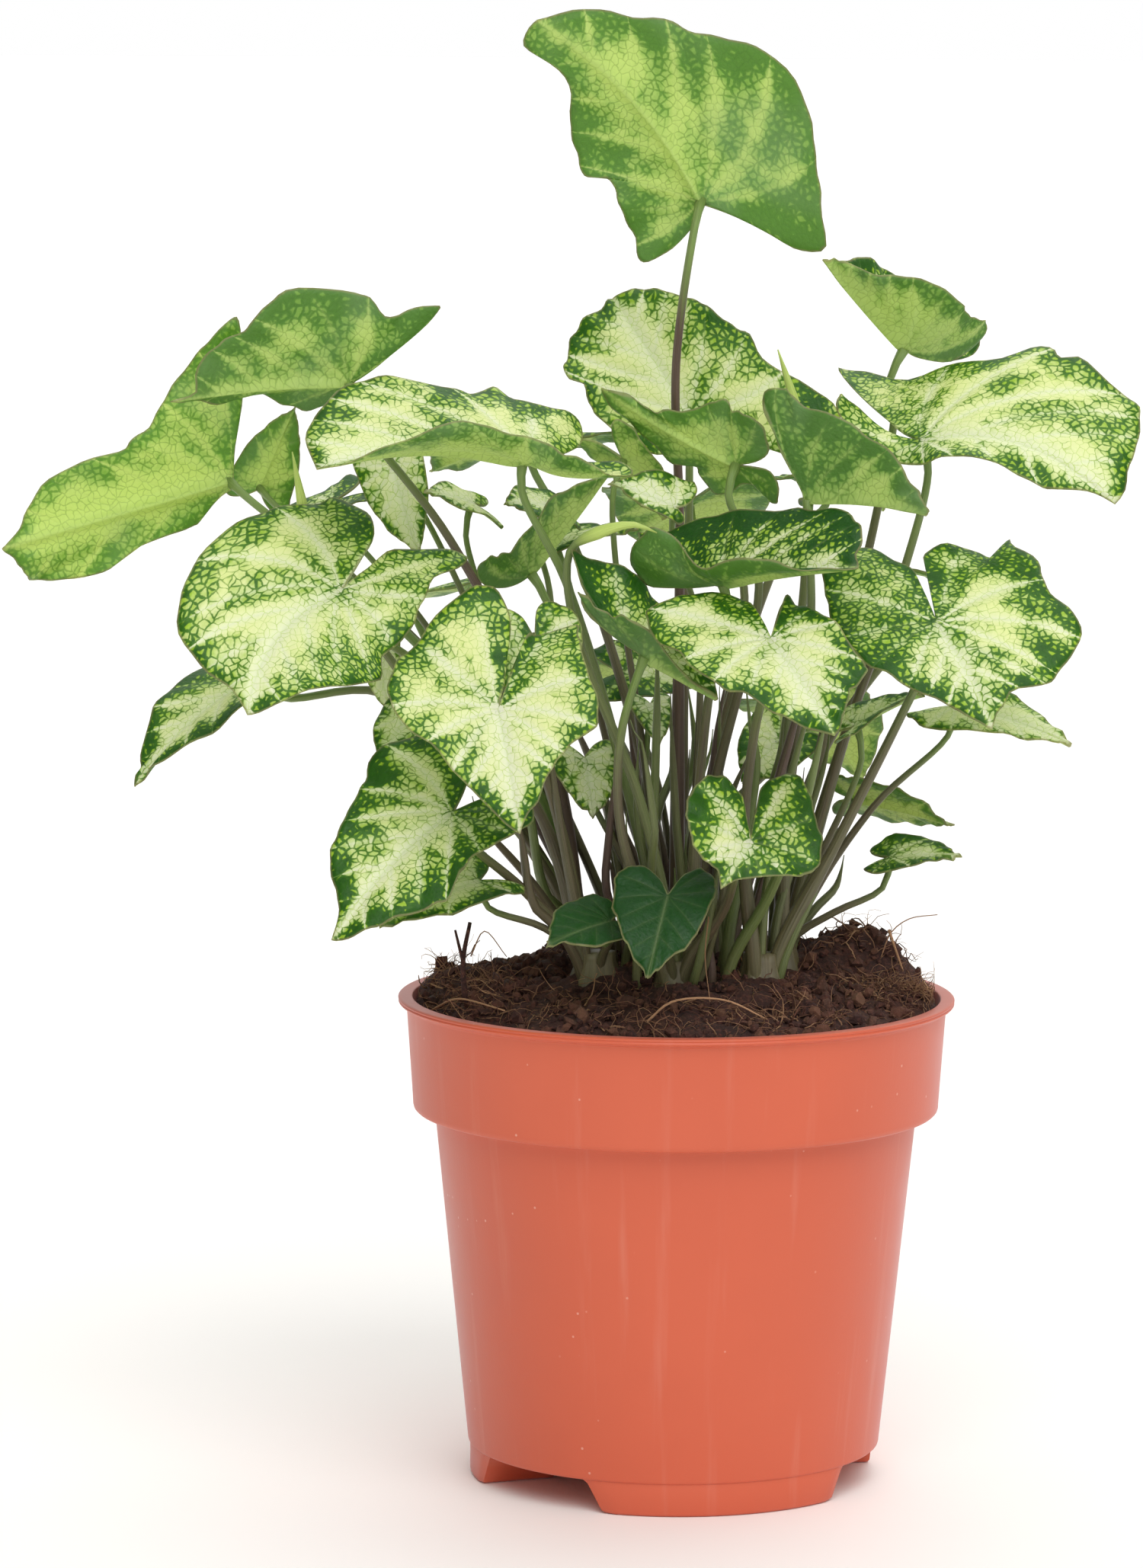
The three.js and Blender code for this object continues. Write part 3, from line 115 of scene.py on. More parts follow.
def row(stem, junction, tip, facing, half, lobe, *via, **own):
    """A leaf: its stem, where its stalk ends, where its tip is, the way that its upper side faces, its half
    widths and lobe lengths, the points that its stalk passes, and what differs from PLAIN.

    One number stands for the left and the right side. left and right hold an outline's x and y in turn. wave
    is the ripples' height, with their count and phase where these aren't 5 and 0. lift is the fold of the
    lobes, where it isn't that of the front part.
    """
    values = {"lift": own.get("fold", PLAIN["fold"]), **PLAIN, **own, "half": half, "lobe": lobe}
    for key in ("arrow", "taper", "fold", "lift", "cup", "droop", "half", "lobe"):
        values[key] = np.broadcast_to(values[key], 2)
    values["wave"] = (*np.atleast_1d(values["wave"]), 5, 0)[:3]
    sides = [side and np.reshape(side, (-1, 2)) for side in (values["left"], values["right"])]
    return Sizes(**values, stem=f"stem_{stem}", junction=junction, tip=tip, facing=facing, via=via,
                 sides=sides)


def little(*places, **own):
    """A small young leaf."""
    return row(*places, **{"wave": 0.6, "small": True, **own})


# leaf_01 to leaf_48 in turn. The last seven fill the back, which the photograph doesn't show.
LEAF_ROWS = (
    row("centre", (4, 0, 275), (-31, -8, 313), (0.1, 1, 0.15), (28, 20), (18, 13), (0, 8, 160), (0, 14, 205),
        (-1, 6, 240), fold=8, cup=(-10, -15), arch=15, sweep=-30, swing=-10, wave=1.2, cream=0.1, glow=0.5,
        brown=3, left=(47,6, 42.5,9.5, 37,13, 32.5,17.5, 29,18.5, 25.5,21.5, 22,25.5, 17,28.5, 10,30, 4,28.5,
        0,27, -4.5,25, -9.5,23.5, -17,21.5, -16,15.5, -11.5,10.5, -5,4, -2,1), right=(52,6, 40,6.5, 32,13,
        25,17, 19,18.5, 14.5,14.5, 8.5,16, 0,16.5, -8,17.5, -8,11, -4,3)),
    row("right_back", (49, 39, 242), (31, 25, 262), (0.5, 0, 1), 17, (22, 24), (32, 20, 160), (43, 37, 205),
        (47, 41, 228), arrow=0.3, fold=(60, 55), cup=(10, 0), arch=-5, droop=(-60, -40), wave=(1.2, 6, 0),
        cream=0.35),
    row("right_back", (52, 5, 224), (92, -11, 212), (-0.1, -0.5, 0.85), (26, 22), (28, 20), (36, 8, 160),
        (48, 8, 195), fold=(5, 0), cup=(0, -15), arch=60, droop=(-25, -75), sweep=-25, wave=(1.2, 5, 1),
        cream=0.5, left=(46,4.5, 44,8.5, 42.5,12.5, 40.5,17.5, 38.5,22, 36.5,24.5, 33.5,25.5, 29.5,26, 23,29,
        20,28, 18,30, 14,31, 8.5,28, 2,29, -5,30, -12.5,28, -20,30.5, -23,31, -27,30, -27.5,28, -22,21.5,
        -16,15, -10,9, -5,4), right=(44.5,0.5, 40,3.5, 35.5,6.5, 32,8, 27.5,8.5, 23,8.5, 17.5,9.5, 11.5,9.5,
        7,10, 2.5,9.5, -2.5,7, -7,5, -12,3, -17,2, -21,0, -23,-2.5, -22,-4.5, -18,-6, -12,-5, -6,-3)),
    row("back", (2, 26, 228), (-15, 38, 253), (0, -1, 0.35), (29, 25), (10, 26), (1, 26, 160), (2, 34, 200),
        arch=10, cream=0.5, left=(32,1.5, 31,4.5, 31,7.5, 30,10.5, 28.5,13.5, 26,15.5, 23.5,17.5, 20.5,18.5,
        17.5,16.5, 13,17.5, 10,17.5, 5,16, 1,14, -2,12.5, -5,10, -6,6, -3,2), right=(32,3.5, 31,6, 29,8.5,
        27,10.5, 23.5,13, 20.5,14.5, 18.5,16, 14.5,17.5, 11.5,19, 8.5,20.5, 2.5,20, -2,22, -8.5,25,
        -14.5,27.5, -20,27, -23,23, -20,15, -12,8, -5,3)),
    row("left_back", (-71, 0, 236), (-108, -10, 232), (0, 0.1, 1), (22, 12), (24, 8), (-28, 0, 160),
        (-49, -4, 203), fold=(60, -22), cup=(20, 0), arch=15, droop=(-10, 0), wave=1.2, cream=0.05,
        glow=0.25, brown=1, left=(33.5,1, 32,5, 30,8, 27.5,10.5, 25,12.5, 21.5,14.5, 20,16.5, 17,19, 14,20.5,
        7,20, 0,19, -3.5,18.5, -7,15.5, -10,15.5, -13,17, -18,18, -21,16.5, -19,13.5, -14,9, -9,5, -4,1.7),
        right=(30,3, 22,6, 14,9.5, 6,11, -2,10, -5,6, -3,2)),
    row("left_back", (-97, 10, 214), (-145, 0, 200), (-0.2, 0.9, 0), (33, 19), (19, 8), (-32, 10, 150),
        (-66, 12, 188), fold=(0, 10), arch=10, wave=1.2, cream=0.6, glow=1, brown=0, left=(47,2.5, 43,6.5,
        38,11, 29,13, 20,13, 18,14.5, 14,16, 9.5,19.5, 5,24, -1,28.5, -5,31, -10,33.5, -11.5,31.5, -8,17.5,
        -6,12.5, -3,6), right=(49,3.5, 48,6.5, 46,9, 41,10.5, 31.5,11.5, 22.5,8.5, 11.5,7.5, 8.5,7, 4.5,4,
        2,2.5, -1,1.5)),
    row("centre", (-33, -20, 221), (-75, -40, 220), (0, -0.6, 0.8), (14, 29), (22, 16), (-12, -6, 155),
        (-24, -14, 195), fold=(25, 0), lift=0, cup=(80, 0), droop=(-30, 5), sweep=30, cream=0.5, glow=0.1,
        brown=0.3, left=(44,3, 36,7, 28,11, 20,14, 14,14, 8,12, 2,12, -4,14, -10,14, -16,12, -21,8, -23,3,
        -20,-1, -13,-2, -6,-1), right=(45,8, 42,13, 38.5,16.5, 34,19.5, 28.5,22.5, 24,24, 20,23.5, 13,23,
        9.5,22, 7,23, 4,25.5, 1.5,27, -1,23.5, -4.5,22, -9,22.5, -13,23, -17,23, -16,15, -9,7, -3,2)),
    row("left_front", (-71, -30, 194), (-89, -50, 170), (-0.1, -0.85, 0.5), (18, 32), (26, 17),
        (-29, -15, 145), (-52, -18, 175), fold=0, cup=(-20, 0), arch=25, sweep=55, wave=1.2, cream=0.55,
        left=(35.5,4.5, 30.5,10, 25.5,14, 19.5,18, 7.5,22, 0,18, -6.5,16, -11,13, -15,10, -20.5,5, -28,4,
        -31,1, -29.5,-1, -25,-3, -17,-5.5, -10,-3.5, -5,-2), right=(32.5,4, 29,12, 23.5,20.5, 17.5,23.5,
        11,26.5, 3.5,28, -2,28.5, -10,26.5, -14,25.5, -17,17.5, -15,11, -10,7, -4.5,3, -2,1)),
    row("left_front", (-37, -55, 172), (-32, -68, 148), (0.05, -0.9, 0.4), (21, 22), (19, 23),
        (-24, -19, 140), (-31, -30, 163), fold=5, arch=35, droop=(5, -15), wave=0.9, cream=0.55,
        left=(24.5,2, 21.5,5, 16,8.5, 12.5,11.5, 10,15, 9,19, 5,20, -2.5,20, -10,19.5, -16,19.5, -19.5,19.5,
        -19.5,12, -18,9, -10.5,5, -5.5,2.5), right=(24,4, 18,8, 13,11.5, 7,15.5, 2.5,19, -2.5,21.5, -7,22,
        -12,20.5, -16,18, -19,14, -23.5,11, -28,4.5, -30,-0.5, -29.5,-4, -24.5,-6, -20,-6, -13,-4, -7,-2.5,
        -3.5,-1)),
    row("left_front", (-47, -42, 149), (-71, -60, 125), (-0.2, -0.75, 0.6), (14, 23), (19, 14),
        (-32, -24, 130), arch=25, sweep=10, wave=0.9, cream=0.1, left=(37,4, 33,7, 29.5,9.5, 25.5,12,
        21.5,14, 18.5,16, 14.5,15.5, 11,14, 7,13.5, 0,14, -5.5,14.5, -11,13, -14,9, -12,4, -7,1.5, -3,0.5),
        right=(35,1, 32,3, 29.5,6, 25.5,10, 22.5,12.5, 19,13.5, 15,15.5, 9.5,18, 6,20, 2,22.5, -3,23,
        -10,20.5, -15,16, -16,10, -11,6, -6,2.7, -2,0.5)),
    row("left_back", (-91, 8, 172), (-116, -10, 150), (-0.7, -0.6, 0.4), 16, 14, (-38, 10, 145),
        (-64, 13, 168), fold=10, arch=30, wave=0.9, cream=0.1, glow=0.1),
    row("centre_front", (-7, -31, 181), (8, -33, 172), (0.2, -0.3, 1), (18, 13), (22, 20), (-12, -29, 145),
        (-12, -32, 164), fold=(20, 80), lift=(20, 60), cup=(10, 0), arch=10, droop=(-35, -30), wave=0.8,
        cream=0, dark=0.3, left=(17,1, 13,6, 6,11, 0,14, -6,16, -11,16, -15,15.5, -20,13, -24.5,9, -28,6,
        -22,3.8, -12,1.6, -5,0.5), right=(14.5,0.5, 10,1, 6.5,2, 3,3.5, 0,5.5, -4,7.5, -7,9, -9,8.5, -10.5,6,
        -13,4.5, -15.5,3.2, -18,2.4, -20,1.2, -18,0.5, -12,0.2, -5,0)),
    row("centre_front", (9, -27, 196), (37, -47, 201), (0, -0.55, 0.83), (22, 14), (25, 15), (4, -22, 145),
        (7, -20, 175), fold=(15, 30), lift=(15, 50), cup=(0, 80), arch=15, droop=(-30, -10), cream=-0.15,
        dark=0.7, left=(33.5,3, 33,6.5, 31.5,10.5, 29,13.5, 25.5,16, 20.5,18, 15.5,18.5, 11,19, 5,19,
        -1,19.5, -8,20, -13.5,19, -19,17.5, -23,15.5, -26.5,14, -28,13.5, -25.5,10.5, -21,7.8, -14,4.5,
        -7,1.8), right=(30,3, 24,5, 18,7, 12,8, 6,8, 1,8, -3,12, -8,16, -13,16.5, -17,13, -20,8, -17,4,
        -10,2, -4,0.5)),
    row("right_front", (19, -46, 186), (32, -64, 168), (0, -0.75, 0.65), (16, 19), (13, 16), (14, -22, 140),
        (16, -30, 165), arch=25, wave=0.9, cream=0.35, left=(27,2.5, 24.5,4.5, 21.5,7, 20,9.5, 18,13,
        16.5,13.5, 13,13, 7.5,13, 1.5,12.5, -3.5,11.5, -7.5,10, -11,9.5, -8.5,7, -5,4, -2,1.5),
        right=(26,2.5, 23.5,4.5, 20.5,7.5, 17.5,9.5, 14.5,11, 11.5,13, 9,15.5, 5,17, -0.5,18, -5,18,
        -10.5,19.5, -14.5,20, -19.5,19, -23,17.5, -22.5,12, -23,8.5, -22,4, -19,0, -16.5,-1.5, -12.5,-2,
        -6.5,-1.5)),
    row("right_front", (54, -28, 188), (65, -45, 168), (0.1, -0.8, 0.6), (32, 22), (16, 25), (34, -14, 140),
        (46, -18, 165), fold=0, arch=30, wave=1.2, cream=0.25, left=(26.5,2, 25,4, 23,7, 23.5,12.5, 23,15.5,
        21,18, 19.5,21.5, 17,24, 14.5,26.5, 11.5,27.5, 7.5,27.5, 3.5,26, 0.5,25.5, -3.5,26, -7,27, -11.5,27,
        -17,25.5, -21.5,26.5, -18.5,22.5, -17,20.5, -20,19, -22.5,16, -24,13, -23.5,9.5, -21,6.5, -16.5,5,
        -10,3), right=(26,2.5, 23.5,5, 20,7, 17.5,10.5, 14.5,13.5, 11,15.5, 7.5,18.5, 1,19.5, -5.5,19.5,
        -12,19, -18,17, -22.5,16, -29,13.5, -31,9, -30.5,4.5, -28.5,0.5, -24,-1.5, -19,-3, -14,-2.5,
        -8,-1.5)),
    row("centre_front", (15, -49, 144), (9, -54, 135), (0.15, -1, 0.25), 13, 13, (10, -32, 128), fold=10,
        arch=30, droop=0, wave=0.6, cream=0.12, dark=0, left=(9,1.5, 6.5,4.5, 4,8, 2,11, 0,13, -1.5,14.5,
        -4,14.5, -8,13, -11,11, -14,8.5, -17,6, -20,3, -20.5,0, -18.5,-2, -16,-3.5, -13,-4, -9.5,-3, -6,-2),
        right=(9.5,2.5, 9,4.5, 9,7, 8,10, 6,12.5, 4.5,14.5, 2,16, -1.5,16, -5,16, -7.5,14, -8.5,11.5,
        -8.5,8.5, -7.5,6, -4.5,3.5, -2.5,1.5)),
    little("left_front", (-14, -40, 126), (-27, -55, 123), (0, -0.6, 0.8), (8, 10), (8, 7), (-14, -26, 120),
        arrow=0.2, arch=15, cream=-0.7, dark=1),
    little("centre_front", (-2, -45, 132), (-6, -60, 117), (0, -0.8, 0.6), (10, 12), (10, 7), (-3, -30, 122),
        arrow=0.2, arch=15, cream=-0.7, dark=1),
    little("right_back", (46, 5, 134), (61, 0, 135), (0, -0.4, 0.9), (9, 7), (6, 5), (34, 5, 122), arrow=0.2,
        arch=15, wave=0.4, cream=-0.05, dark=0.3),
    little("right_back", (39, 26, 144), (60, 20, 139), (0, 0.5, 0.85), 12, 6, (27, 19, 130), arrow=0.3,
        arch=15, cream=0.1, glow=0.4),
    row("right_back", (27, -15, 213), (52, -30, 211), (0, 0.1, 1), (7, 24), (5, 13), (24, -2, 150),
        (28, -8, 185), arrow=0.5, fold=(0, 70), cup=(0, 10), cream=0, glow=0.1, dark=0.3, right=(29,1,
        27.5,3.5, 26,4.5, 23,7, 19,11, 13.5,14.5, 8,18.5, 2.5,21, 0.5,23.5, -1.5,23.5, -5.5,22.5, -6,20.5,
        -5,16.5, -4,12, -2,5.5)),
    row("centre", (12, -1, 219), (-17, 5, 235), (0.2, 0.8, 0.5), (14, 12), (16, 12), (8, 0, 150),
        (17, 1, 195), sweep=30, cream=0.1, glow=0.6, left=(32,1.2, 29,1.7, 26,2, 24,2.2, 22,2.6, 20.5,3.6,
        18,5.2, 15,6.8, 11.5,9.5, 9,12, 6.5,13, 4.5,12.5, 3,12, 0.5,13, -2.5,13, -5,11, -6,8, -6.5,5,
        -4.5,2.5), right=(31,2, 28,3.5, 24,4, 19,5.5, 14.5,8, 12,7, 9.5,6.5, 8,7, 6,8, 3.5,9, 0,6.5, -2,4,
        -4.5,3.3, -6.5,4.5, -8.5,5.5, -10,5.5, -11.5,4, -11,0.5, -8.5,-2.5, -5,-1.6)),
    little("centre", (-1, -3, 210), (-15, -2, 215), (0, -0.7, 0.7), (4, 9), 3, (4, 4, 150), (4, 4, 185),
        arrow=0.2, cup=-10, droop=10, wave=0.8, cream=0.35, glow=0.6),
    row("left_back", (-32, 6, 195), (-14, 12, 218), (-0.5, 0, 1), (10, 12), (12, 16), (-26, 5, 150),
        arrow=0.2, fold=(20, 45), arch=0, droop=-80, wave=0.8, cream=0, glow=0.3, dark=0.3),
    little("left_front", (-42, -30, 133), (-62, -45, 125), (0, -0.5, 0.85), (9, 10), 8, (-28, -22, 122),
        cream=0.1),
    little("left_back", (-62, 16, 217), (-56, 10, 198), (-0.2, -1, 0.2), (8, 9), 9, (-30, 12, 150),
        (-52, 18, 200), cream=0.45, dark=0),
    little("left_back", (-91, 18, 212), (-83, 14, 230), (0, 0.9, 0.3), 8, 4, (-32, 16, 150), (-66, 20, 188),
        cream=0, glow=0.8),
    little("left_back", (-76, 30, 208), (-103, 24, 190), (-0.5, -0.3, 0.7), 10, 9, (-34, 20, 150),
        (-58, 28, 185), cream=-0.2, glow=0, dark=0.6),
    little("centre", (-12, 12, 219), (-3, 13, 206), (0.3, 0.6, 0.7), 9, 9, (-8, 6, 160), (-14, 10, 200),
        cream=0.5, glow=0.7),
    little("back", (-27, 28, 199), (-9, 24, 203), (0, -0.3, 1), (10, 6), 5, (-14, 28, 150), cream=-0.1,
        dark=0.5),
    little("left_back", (-45, 17, 209), (-55, 10, 212), (0, -0.5, 0.85), 7, 7, (-28, 14, 150), cream=0.6,
        glow=0.6),
    little("left_back", (-29, 24, 208), (-38, 16, 209), (0, -0.6, 0.8), 8, 7, (-26, 12, 150), (-28, 16, 190),
        glow=0.6),
    little("right_front", (38, -8, 164), (53, -6, 171), (-0.2, -0.2, 1), 8, 6, (30, -10, 135), fold=15,
        cream=0, glow=0.3, dark=0.3),
    little("right_back", (60, 4, 167), (84, -6, 160), (0, -0.5, 0.85), 10, 9, (42, 4, 145), wave=0.8,
        cream=0.7, dark=0),
    little("centre", (-20, -4, 156), (-18, -11, 144), (0.3, -0.9, 0.3), 9, 5, (-12, -4, 135), wave=0.5,
        cream=0.4, dark=0.1),
    little("centre", (-6, 3, 167), (-4, -5, 159), (0.2, -0.9, 0.4), 5, 4, (-7, 5, 140), wave=0.4, cream=0.2,
        glow=0.5),
    little("left_front", (-30, -32, 184), (-27, -38, 168), (0.1, -0.9, 0.3), (10, 12), (9, 8),
        (-24, -22, 140), arrow=0, wave=1, cream=0.4, dark=0.1),
    little("left_back", (-64, 3, 178), (-62, -1, 165), (-0.2, -0.8, 0.3), 5, 5, (-38, 2, 145), wave=0.4,
        cream=0.5, glow=0.5),
    little("left_back", (-58, -8, 165), (-63, -16, 156), (-0.2, -0.6, 0.7), 7, 6, (-34, 0, 140), wave=0.5,
        cream=0.1, dark=0.3),
    little("back", (-12, 40, 170), (6, 40, 167), (0, -0.6, 0.8), 10, 8, (-4, 32, 145), cream=-0.2, dark=0.6),
    little("back", (22, 34, 156), (14, 28, 147), (0, -0.8, 0.6), 9, 7, (10, 26, 140), cream=0.2, glow=0.3),
    row("back", (34, 57, 212), (46, 72, 204), (0.2, 0.5, 0.85), 14, 8, (10, 30, 160), (24, 40, 200)),
    row("back", (-34, 48, 222), (-56, 68, 212), (-0.2, 0.5, 0.85), 20, 16, (-10, 30, 160), (-24, 40, 200)),
    row("back", (2, 68, 205), (4, 90, 186), (0, 0.7, 0.7), 20, 18, (8, 32, 150), (14, 50, 190), arch=30),
    row("right_back", (62, 40, 190), (82, 56, 174), (0.5, 0.4, 0.8), 19, 15, (30, 30, 150), (48, 38, 176),
        arch=30),
    row("left_back", (-60, 50, 186), (-82, 64, 170), (-0.5, 0.4, 0.8), 19, 15, (-30, 22, 145),
        (-50, 38, 168), arch=30),
    row("back", (-20, 62, 170), (-30, 78, 150), (-0.2, 0.8, 0.6), 17, 14, (-6, 36, 140), arch=30),
    row("back", (30, 58, 160), (42, 74, 142), (0.2, 0.8, 0.6), 16, 13, (12, 36, 140), arch=30),
)

# ---------------------------------------------------------------- places and meshes

pot_low, pot_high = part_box("pot")
AXIS = np.array([(pot_low.x + pot_high.x) / 2, (pot_low.y + pot_high.y) / 2, 0.0])


def place(points):
    """Millimetres from the pot's axis to metres in the row frame."""
    return np.asarray(points, float) * MM + AXIS


def unit(v):
    v = np.asarray(v, float)
    return v / np.maximum(np.linalg.norm(v, axis=-1, keepdims=True), TINY)


def smoothstep(value, low, high):
    t = np.clip((value - low) / (high - low), 0, 1)
    return t * t * (3 - 2 * t)


def circle(radius, height, turns):
    return [(radius * math.cos(turn), radius * math.sin(turn), height) for turn in turns]


def turns_round(sides):
    return np.linspace(0, ROUND, sides, endpoint=False)


def bands(rows, sides):
    """The faces between closed rows of points, each row with so many sides."""
    return [(low + side, low + after, low + sides + after, low + sides + side)
            for low in range(0, (rows - 1) * sides, sides) for side in range(sides)
            for after in ((side + 1) % sides,)]


def loose(name, points, faces):
    """An object from points in millimetres."""
    mesh = bpy.data.meshes.new(name)
    mesh.from_pydata(place(points).tolist(), [], [tuple(map(int, face)) for face in faces])
    mesh.update()
    thing = bpy.data.objects.new(name, mesh)
    bpy.context.scene.collection.objects.link(thing)
    return thing


def dress(piece, material, replaces, layers, smooth=True):
    """Makes a piece of an object: layers of three values a point, a material, and what it stands for."""
    mesh = piece.data
    for layer, values in layers.items():
        attribute = mesh.attributes.new(layer, "FLOAT_VECTOR", "POINT")
        attribute.data.foreach_set("vector", np.asarray(values, np.float32).ravel())
    mesh.materials.clear()
    mesh.materials.append(material)
    mesh.polygons.foreach_set("use_smooth", [smooth] * len(mesh.polygons))
    mesh.update()
    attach(piece, BODY)
    if replaces:
        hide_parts(*replaces)


class Gather:
    """Collects several shapes into one mesh. A layer has three values, each a number or an array that is
    repeated to the count of points."""

    def __init__(self):
        self.points, self.faces, self.layers, self.count = [], [], {}, 0

    def add(self, points, faces, **layers):
        self.points.append(np.asarray(points, float))
        self.faces.extend([[i + self.count for i in face] for face in faces])
        for layer, values in layers.items():
            three = np.stack([np.resize(value, len(points)) for value in values], 1)
            self.layers.setdefault(layer, []).append(three.astype(float))
        self.count += len(points)

    def piece(self, name, material, slot, replaces=(), smooth=True):
        layers = {layer: np.concatenate(values) for layer, values in self.layers.items()}
        dress(loose(name, np.concatenate(self.points), self.faces), material, replaces, layers, smooth)


def curve_through(points, step):
    """Points about a step apart on a centripetal Catmull-Rom curve through the given ones."""
    p = np.asarray(points, float)
    p = np.vstack([2 * p[0] - p[1], p, 2 * p[-1] - p[-2]])
    out = []
    for i in range(1, len(p) - 2):
        four = p[i - 1:i + 3]
        knots = np.cumsum([0, *(np.linalg.norm(after - here) ** 0.5 for here, after in zip(four, four[1:]))])
        count = max(2, int(round(np.linalg.norm(p[i + 1] - p[i]) / step)))
        for t in np.linspace(knots[1], knots[2], count, endpoint=False):
            mixed = four
            for spans in (((0, 1), (1, 2), (2, 3)), ((0, 2), (1, 3)), ((1, 2),)):
                mixed = [((knots[b] - t) * here + (t - knots[a]) * after) / (knots[b] - knots[a])
                         for (a, b), here, after in zip(spans, mixed, mixed[1:])]
            out.append(mixed[0])
    return np.array([*out, p[-2]])


def distances(line):
    """How far along a line each of its points is."""
    return np.concatenate([[0], np.cumsum(np.linalg.norm(np.diff(line, axis=0), axis=1))])


def tube(line, radii, sides, flat=1.0):
    """Points, faces, share of the way along and turn round a closed tube. flat squeezes it sideways."""
    line = np.asarray(line, float)
    ahead = unit(np.gradient(line, axis=0))
    across = unit(np.cross(ahead[0], (0.3, 0.2, 1.0) if abs(ahead[0][2]) < 0.9 else (1.0, 0.2, 0)))
    points, turns = [], turns_round(sides)
    for centre, direction, radius in zip(line, ahead, np.broadcast_to(radii, len(line))):
        across = unit(across - direction * across.dot(direction))
        other = np.cross(direction, across)
        points += [centre + radius * (math.cos(turn) * across + flat * math.sin(turn) * other)
                   for turn in turns]
    last = (len(line) - 1) * sides
    faces = [range(sides)[::-1], range(last, last + sides), *bands(len(line), sides)]
    share = np.repeat(np.linspace(0, 1, len(line)), sides)
    return np.array(points), faces, share, np.tile(turns, len(line))


# ---------------------------------------------------------------- blades: the surface of the part's source


def side_points(side, share):
    """Points of a smooth curve through a side's points, at shares of its length from 0 at the tip to 1."""
    side = np.asarray(side, float)
    at = np.asarray(share, float) * (len(side) - 1)
    start = np.minimum(np.floor(at).astype(int), len(side) - 2)
    t = (at - start)[:, None]
    p0, p1, p2, p3 = (side[np.clip(start + k, 0, len(side) - 1)] for k in (-1, 0, 1, 2))
    return 0.5 * (2 * p1 + (p2 - p0) * t + (2 * p0 - 5 * p1 + 4 * p2 - p3) * t ** 2
                  + (3 * p1 - p0 - 3 * p2 + p3) * t ** 3)


def outline(leaf, turn):
    """The flat outline at turns from 0 at the tip by the left side to 0.5 at the notch and back on the right.

    The notch is the inner end of the cut between the lobes, halfway between the margins that meet there.
    """
    (left_x, left_y), (right_x, right_y) = (unit((-1, 0) if own is None else own[-1]) for own in leaf.sides)
    notch = BLADE.notch * unit((left_x + right_x, left_y - right_y))
    flat = np.zeros((len(turn), 2))
    for side, way, here, share in ((0, 1, turn <= 0.5, 2 * turn), (1, -1, turn > 0.5, 2 - 2 * turn)):
        share, own = share[here], leaf.sides[side]
        if own is None:
            mix = leaf.arrow[side]
            x, y = (side_points(HEART_SIDE, share) * (1 - mix) + side_points(ARROW_SIDE, share) * mix).T
            y = y * leaf.half[side] * (1 - leaf.taper[side] * np.maximum(x, 0))
            x = x * np.where(x > 0, leaf.front, leaf.lobe[side])
        else:
            x, y = side_points(((leaf.front, 0), *own, notch * (1, way)), share).T
        flat[here] = np.stack([x, way * y], 1)
    return flat


def midrib(leaf, along, left):
    """Places, directions and left sides of the midrib, or behind the junction of the line of a lobe."""
    back = along < 0
    reach = np.where(back, np.where(left, *leaf.lobe), leaf.front)
    bend = np.radians(np.where(back, np.where(left, *leaf.droop), leaf.arch))
    sweep = np.radians(np.where(back, leaf.swing, leaf.sweep))
    share = np.abs(along) / reach

    def heading(part):
        pitch, turn = -bend * share * part, sweep * share * part
        ahead = np.cos(pitch) * np.cos(turn)
        return np.stack([np.where(back, -ahead, ahead), np.cos(pitch) * np.sin(turn), np.sin(pitch)], 1)

    at = sum(heading((step + 0.5) / BLADE.steps) for step in range(BLADE.steps))
    turn = sweep * share * np.where(back, -1, 1)
    return (at * (np.abs(along) / BLADE.steps)[:, None], heading(1) * np.where(back, -1, 1)[:, None],
            np.stack([-np.sin(turn), np.cos(turn), 0 * turn], 1))


def surface_points(leaf, along, across, left, wave=0):
    """Points of the blade's middle surface in its own frame, along the midrib and across to one side."""
    lobe = smoothstep(-along, -BLADE.raise_ahead, BLADE.raise_back)
    start = np.radians(np.where(left, *leaf.fold) * (1 - lobe) + np.where(left, *leaf.lift) * lobe)
    rate = np.radians(np.where(left, *leaf.cup) / np.where(left, *leaf.half))
    rate = np.where(np.abs(rate) < BLADE.straight, BLADE.straight, rate)
    end = start + rate * across
    out, up = (np.sin(end) - np.sin(start)) / rate, (np.cos(start) - np.cos(end)) / rate
    at, ahead, leftward = midrib(leaf, along, left)
    return (at + leftward * np.where(left, out, -out)[:, None]
            + np.cross(ahead, leftward) * (up + wave)[:, None])


def half_normals(leaf, along, across, left):
    """The way out of the upper side at places on one half."""
    step = np.where(along < 0, -BLADE.probe, BLADE.probe)
    here = surface_points(leaf, along, across, left)
    ahead = (surface_points(leaf, along + step, across, left) - here) / step[:, None]
    outward = surface_points(leaf, along, across + BLADE.probe, left) - here
    return unit(np.cross(ahead, outward)) * np.where(left, 1, -1)[:, None]


def blade_surface(leaf, flat, turn, share):
    """Points of the middle surface and the ways through it, at flat outline places scaled by share.

    The way through turns close to the midrib into the mean of the two halves' own.
    """
    left = turn <= 0.5
    along, across = flat[:, 0] * share, np.where(left, flat[:, 1], -flat[:, 1]) * share
    height, count, phase = leaf.wave
    rim = share ** 2 * np.minimum(1, np.abs(across) / BLADE.flat_rim)
    wave = height * rim * np.sin(ROUND * count * turn + phase)
    seam = unit(sum(half_normals(leaf, along, 0 * across, np.full(len(left), half))
                    for half in (True, False)))
    own = smoothstep(np.abs(across), 0, BLADE.seam)[:, None]
    through = unit(seam * (1 - own) + half_normals(leaf, along, across, left) * own)
    return surface_points(leaf, along, across, left, wave), through


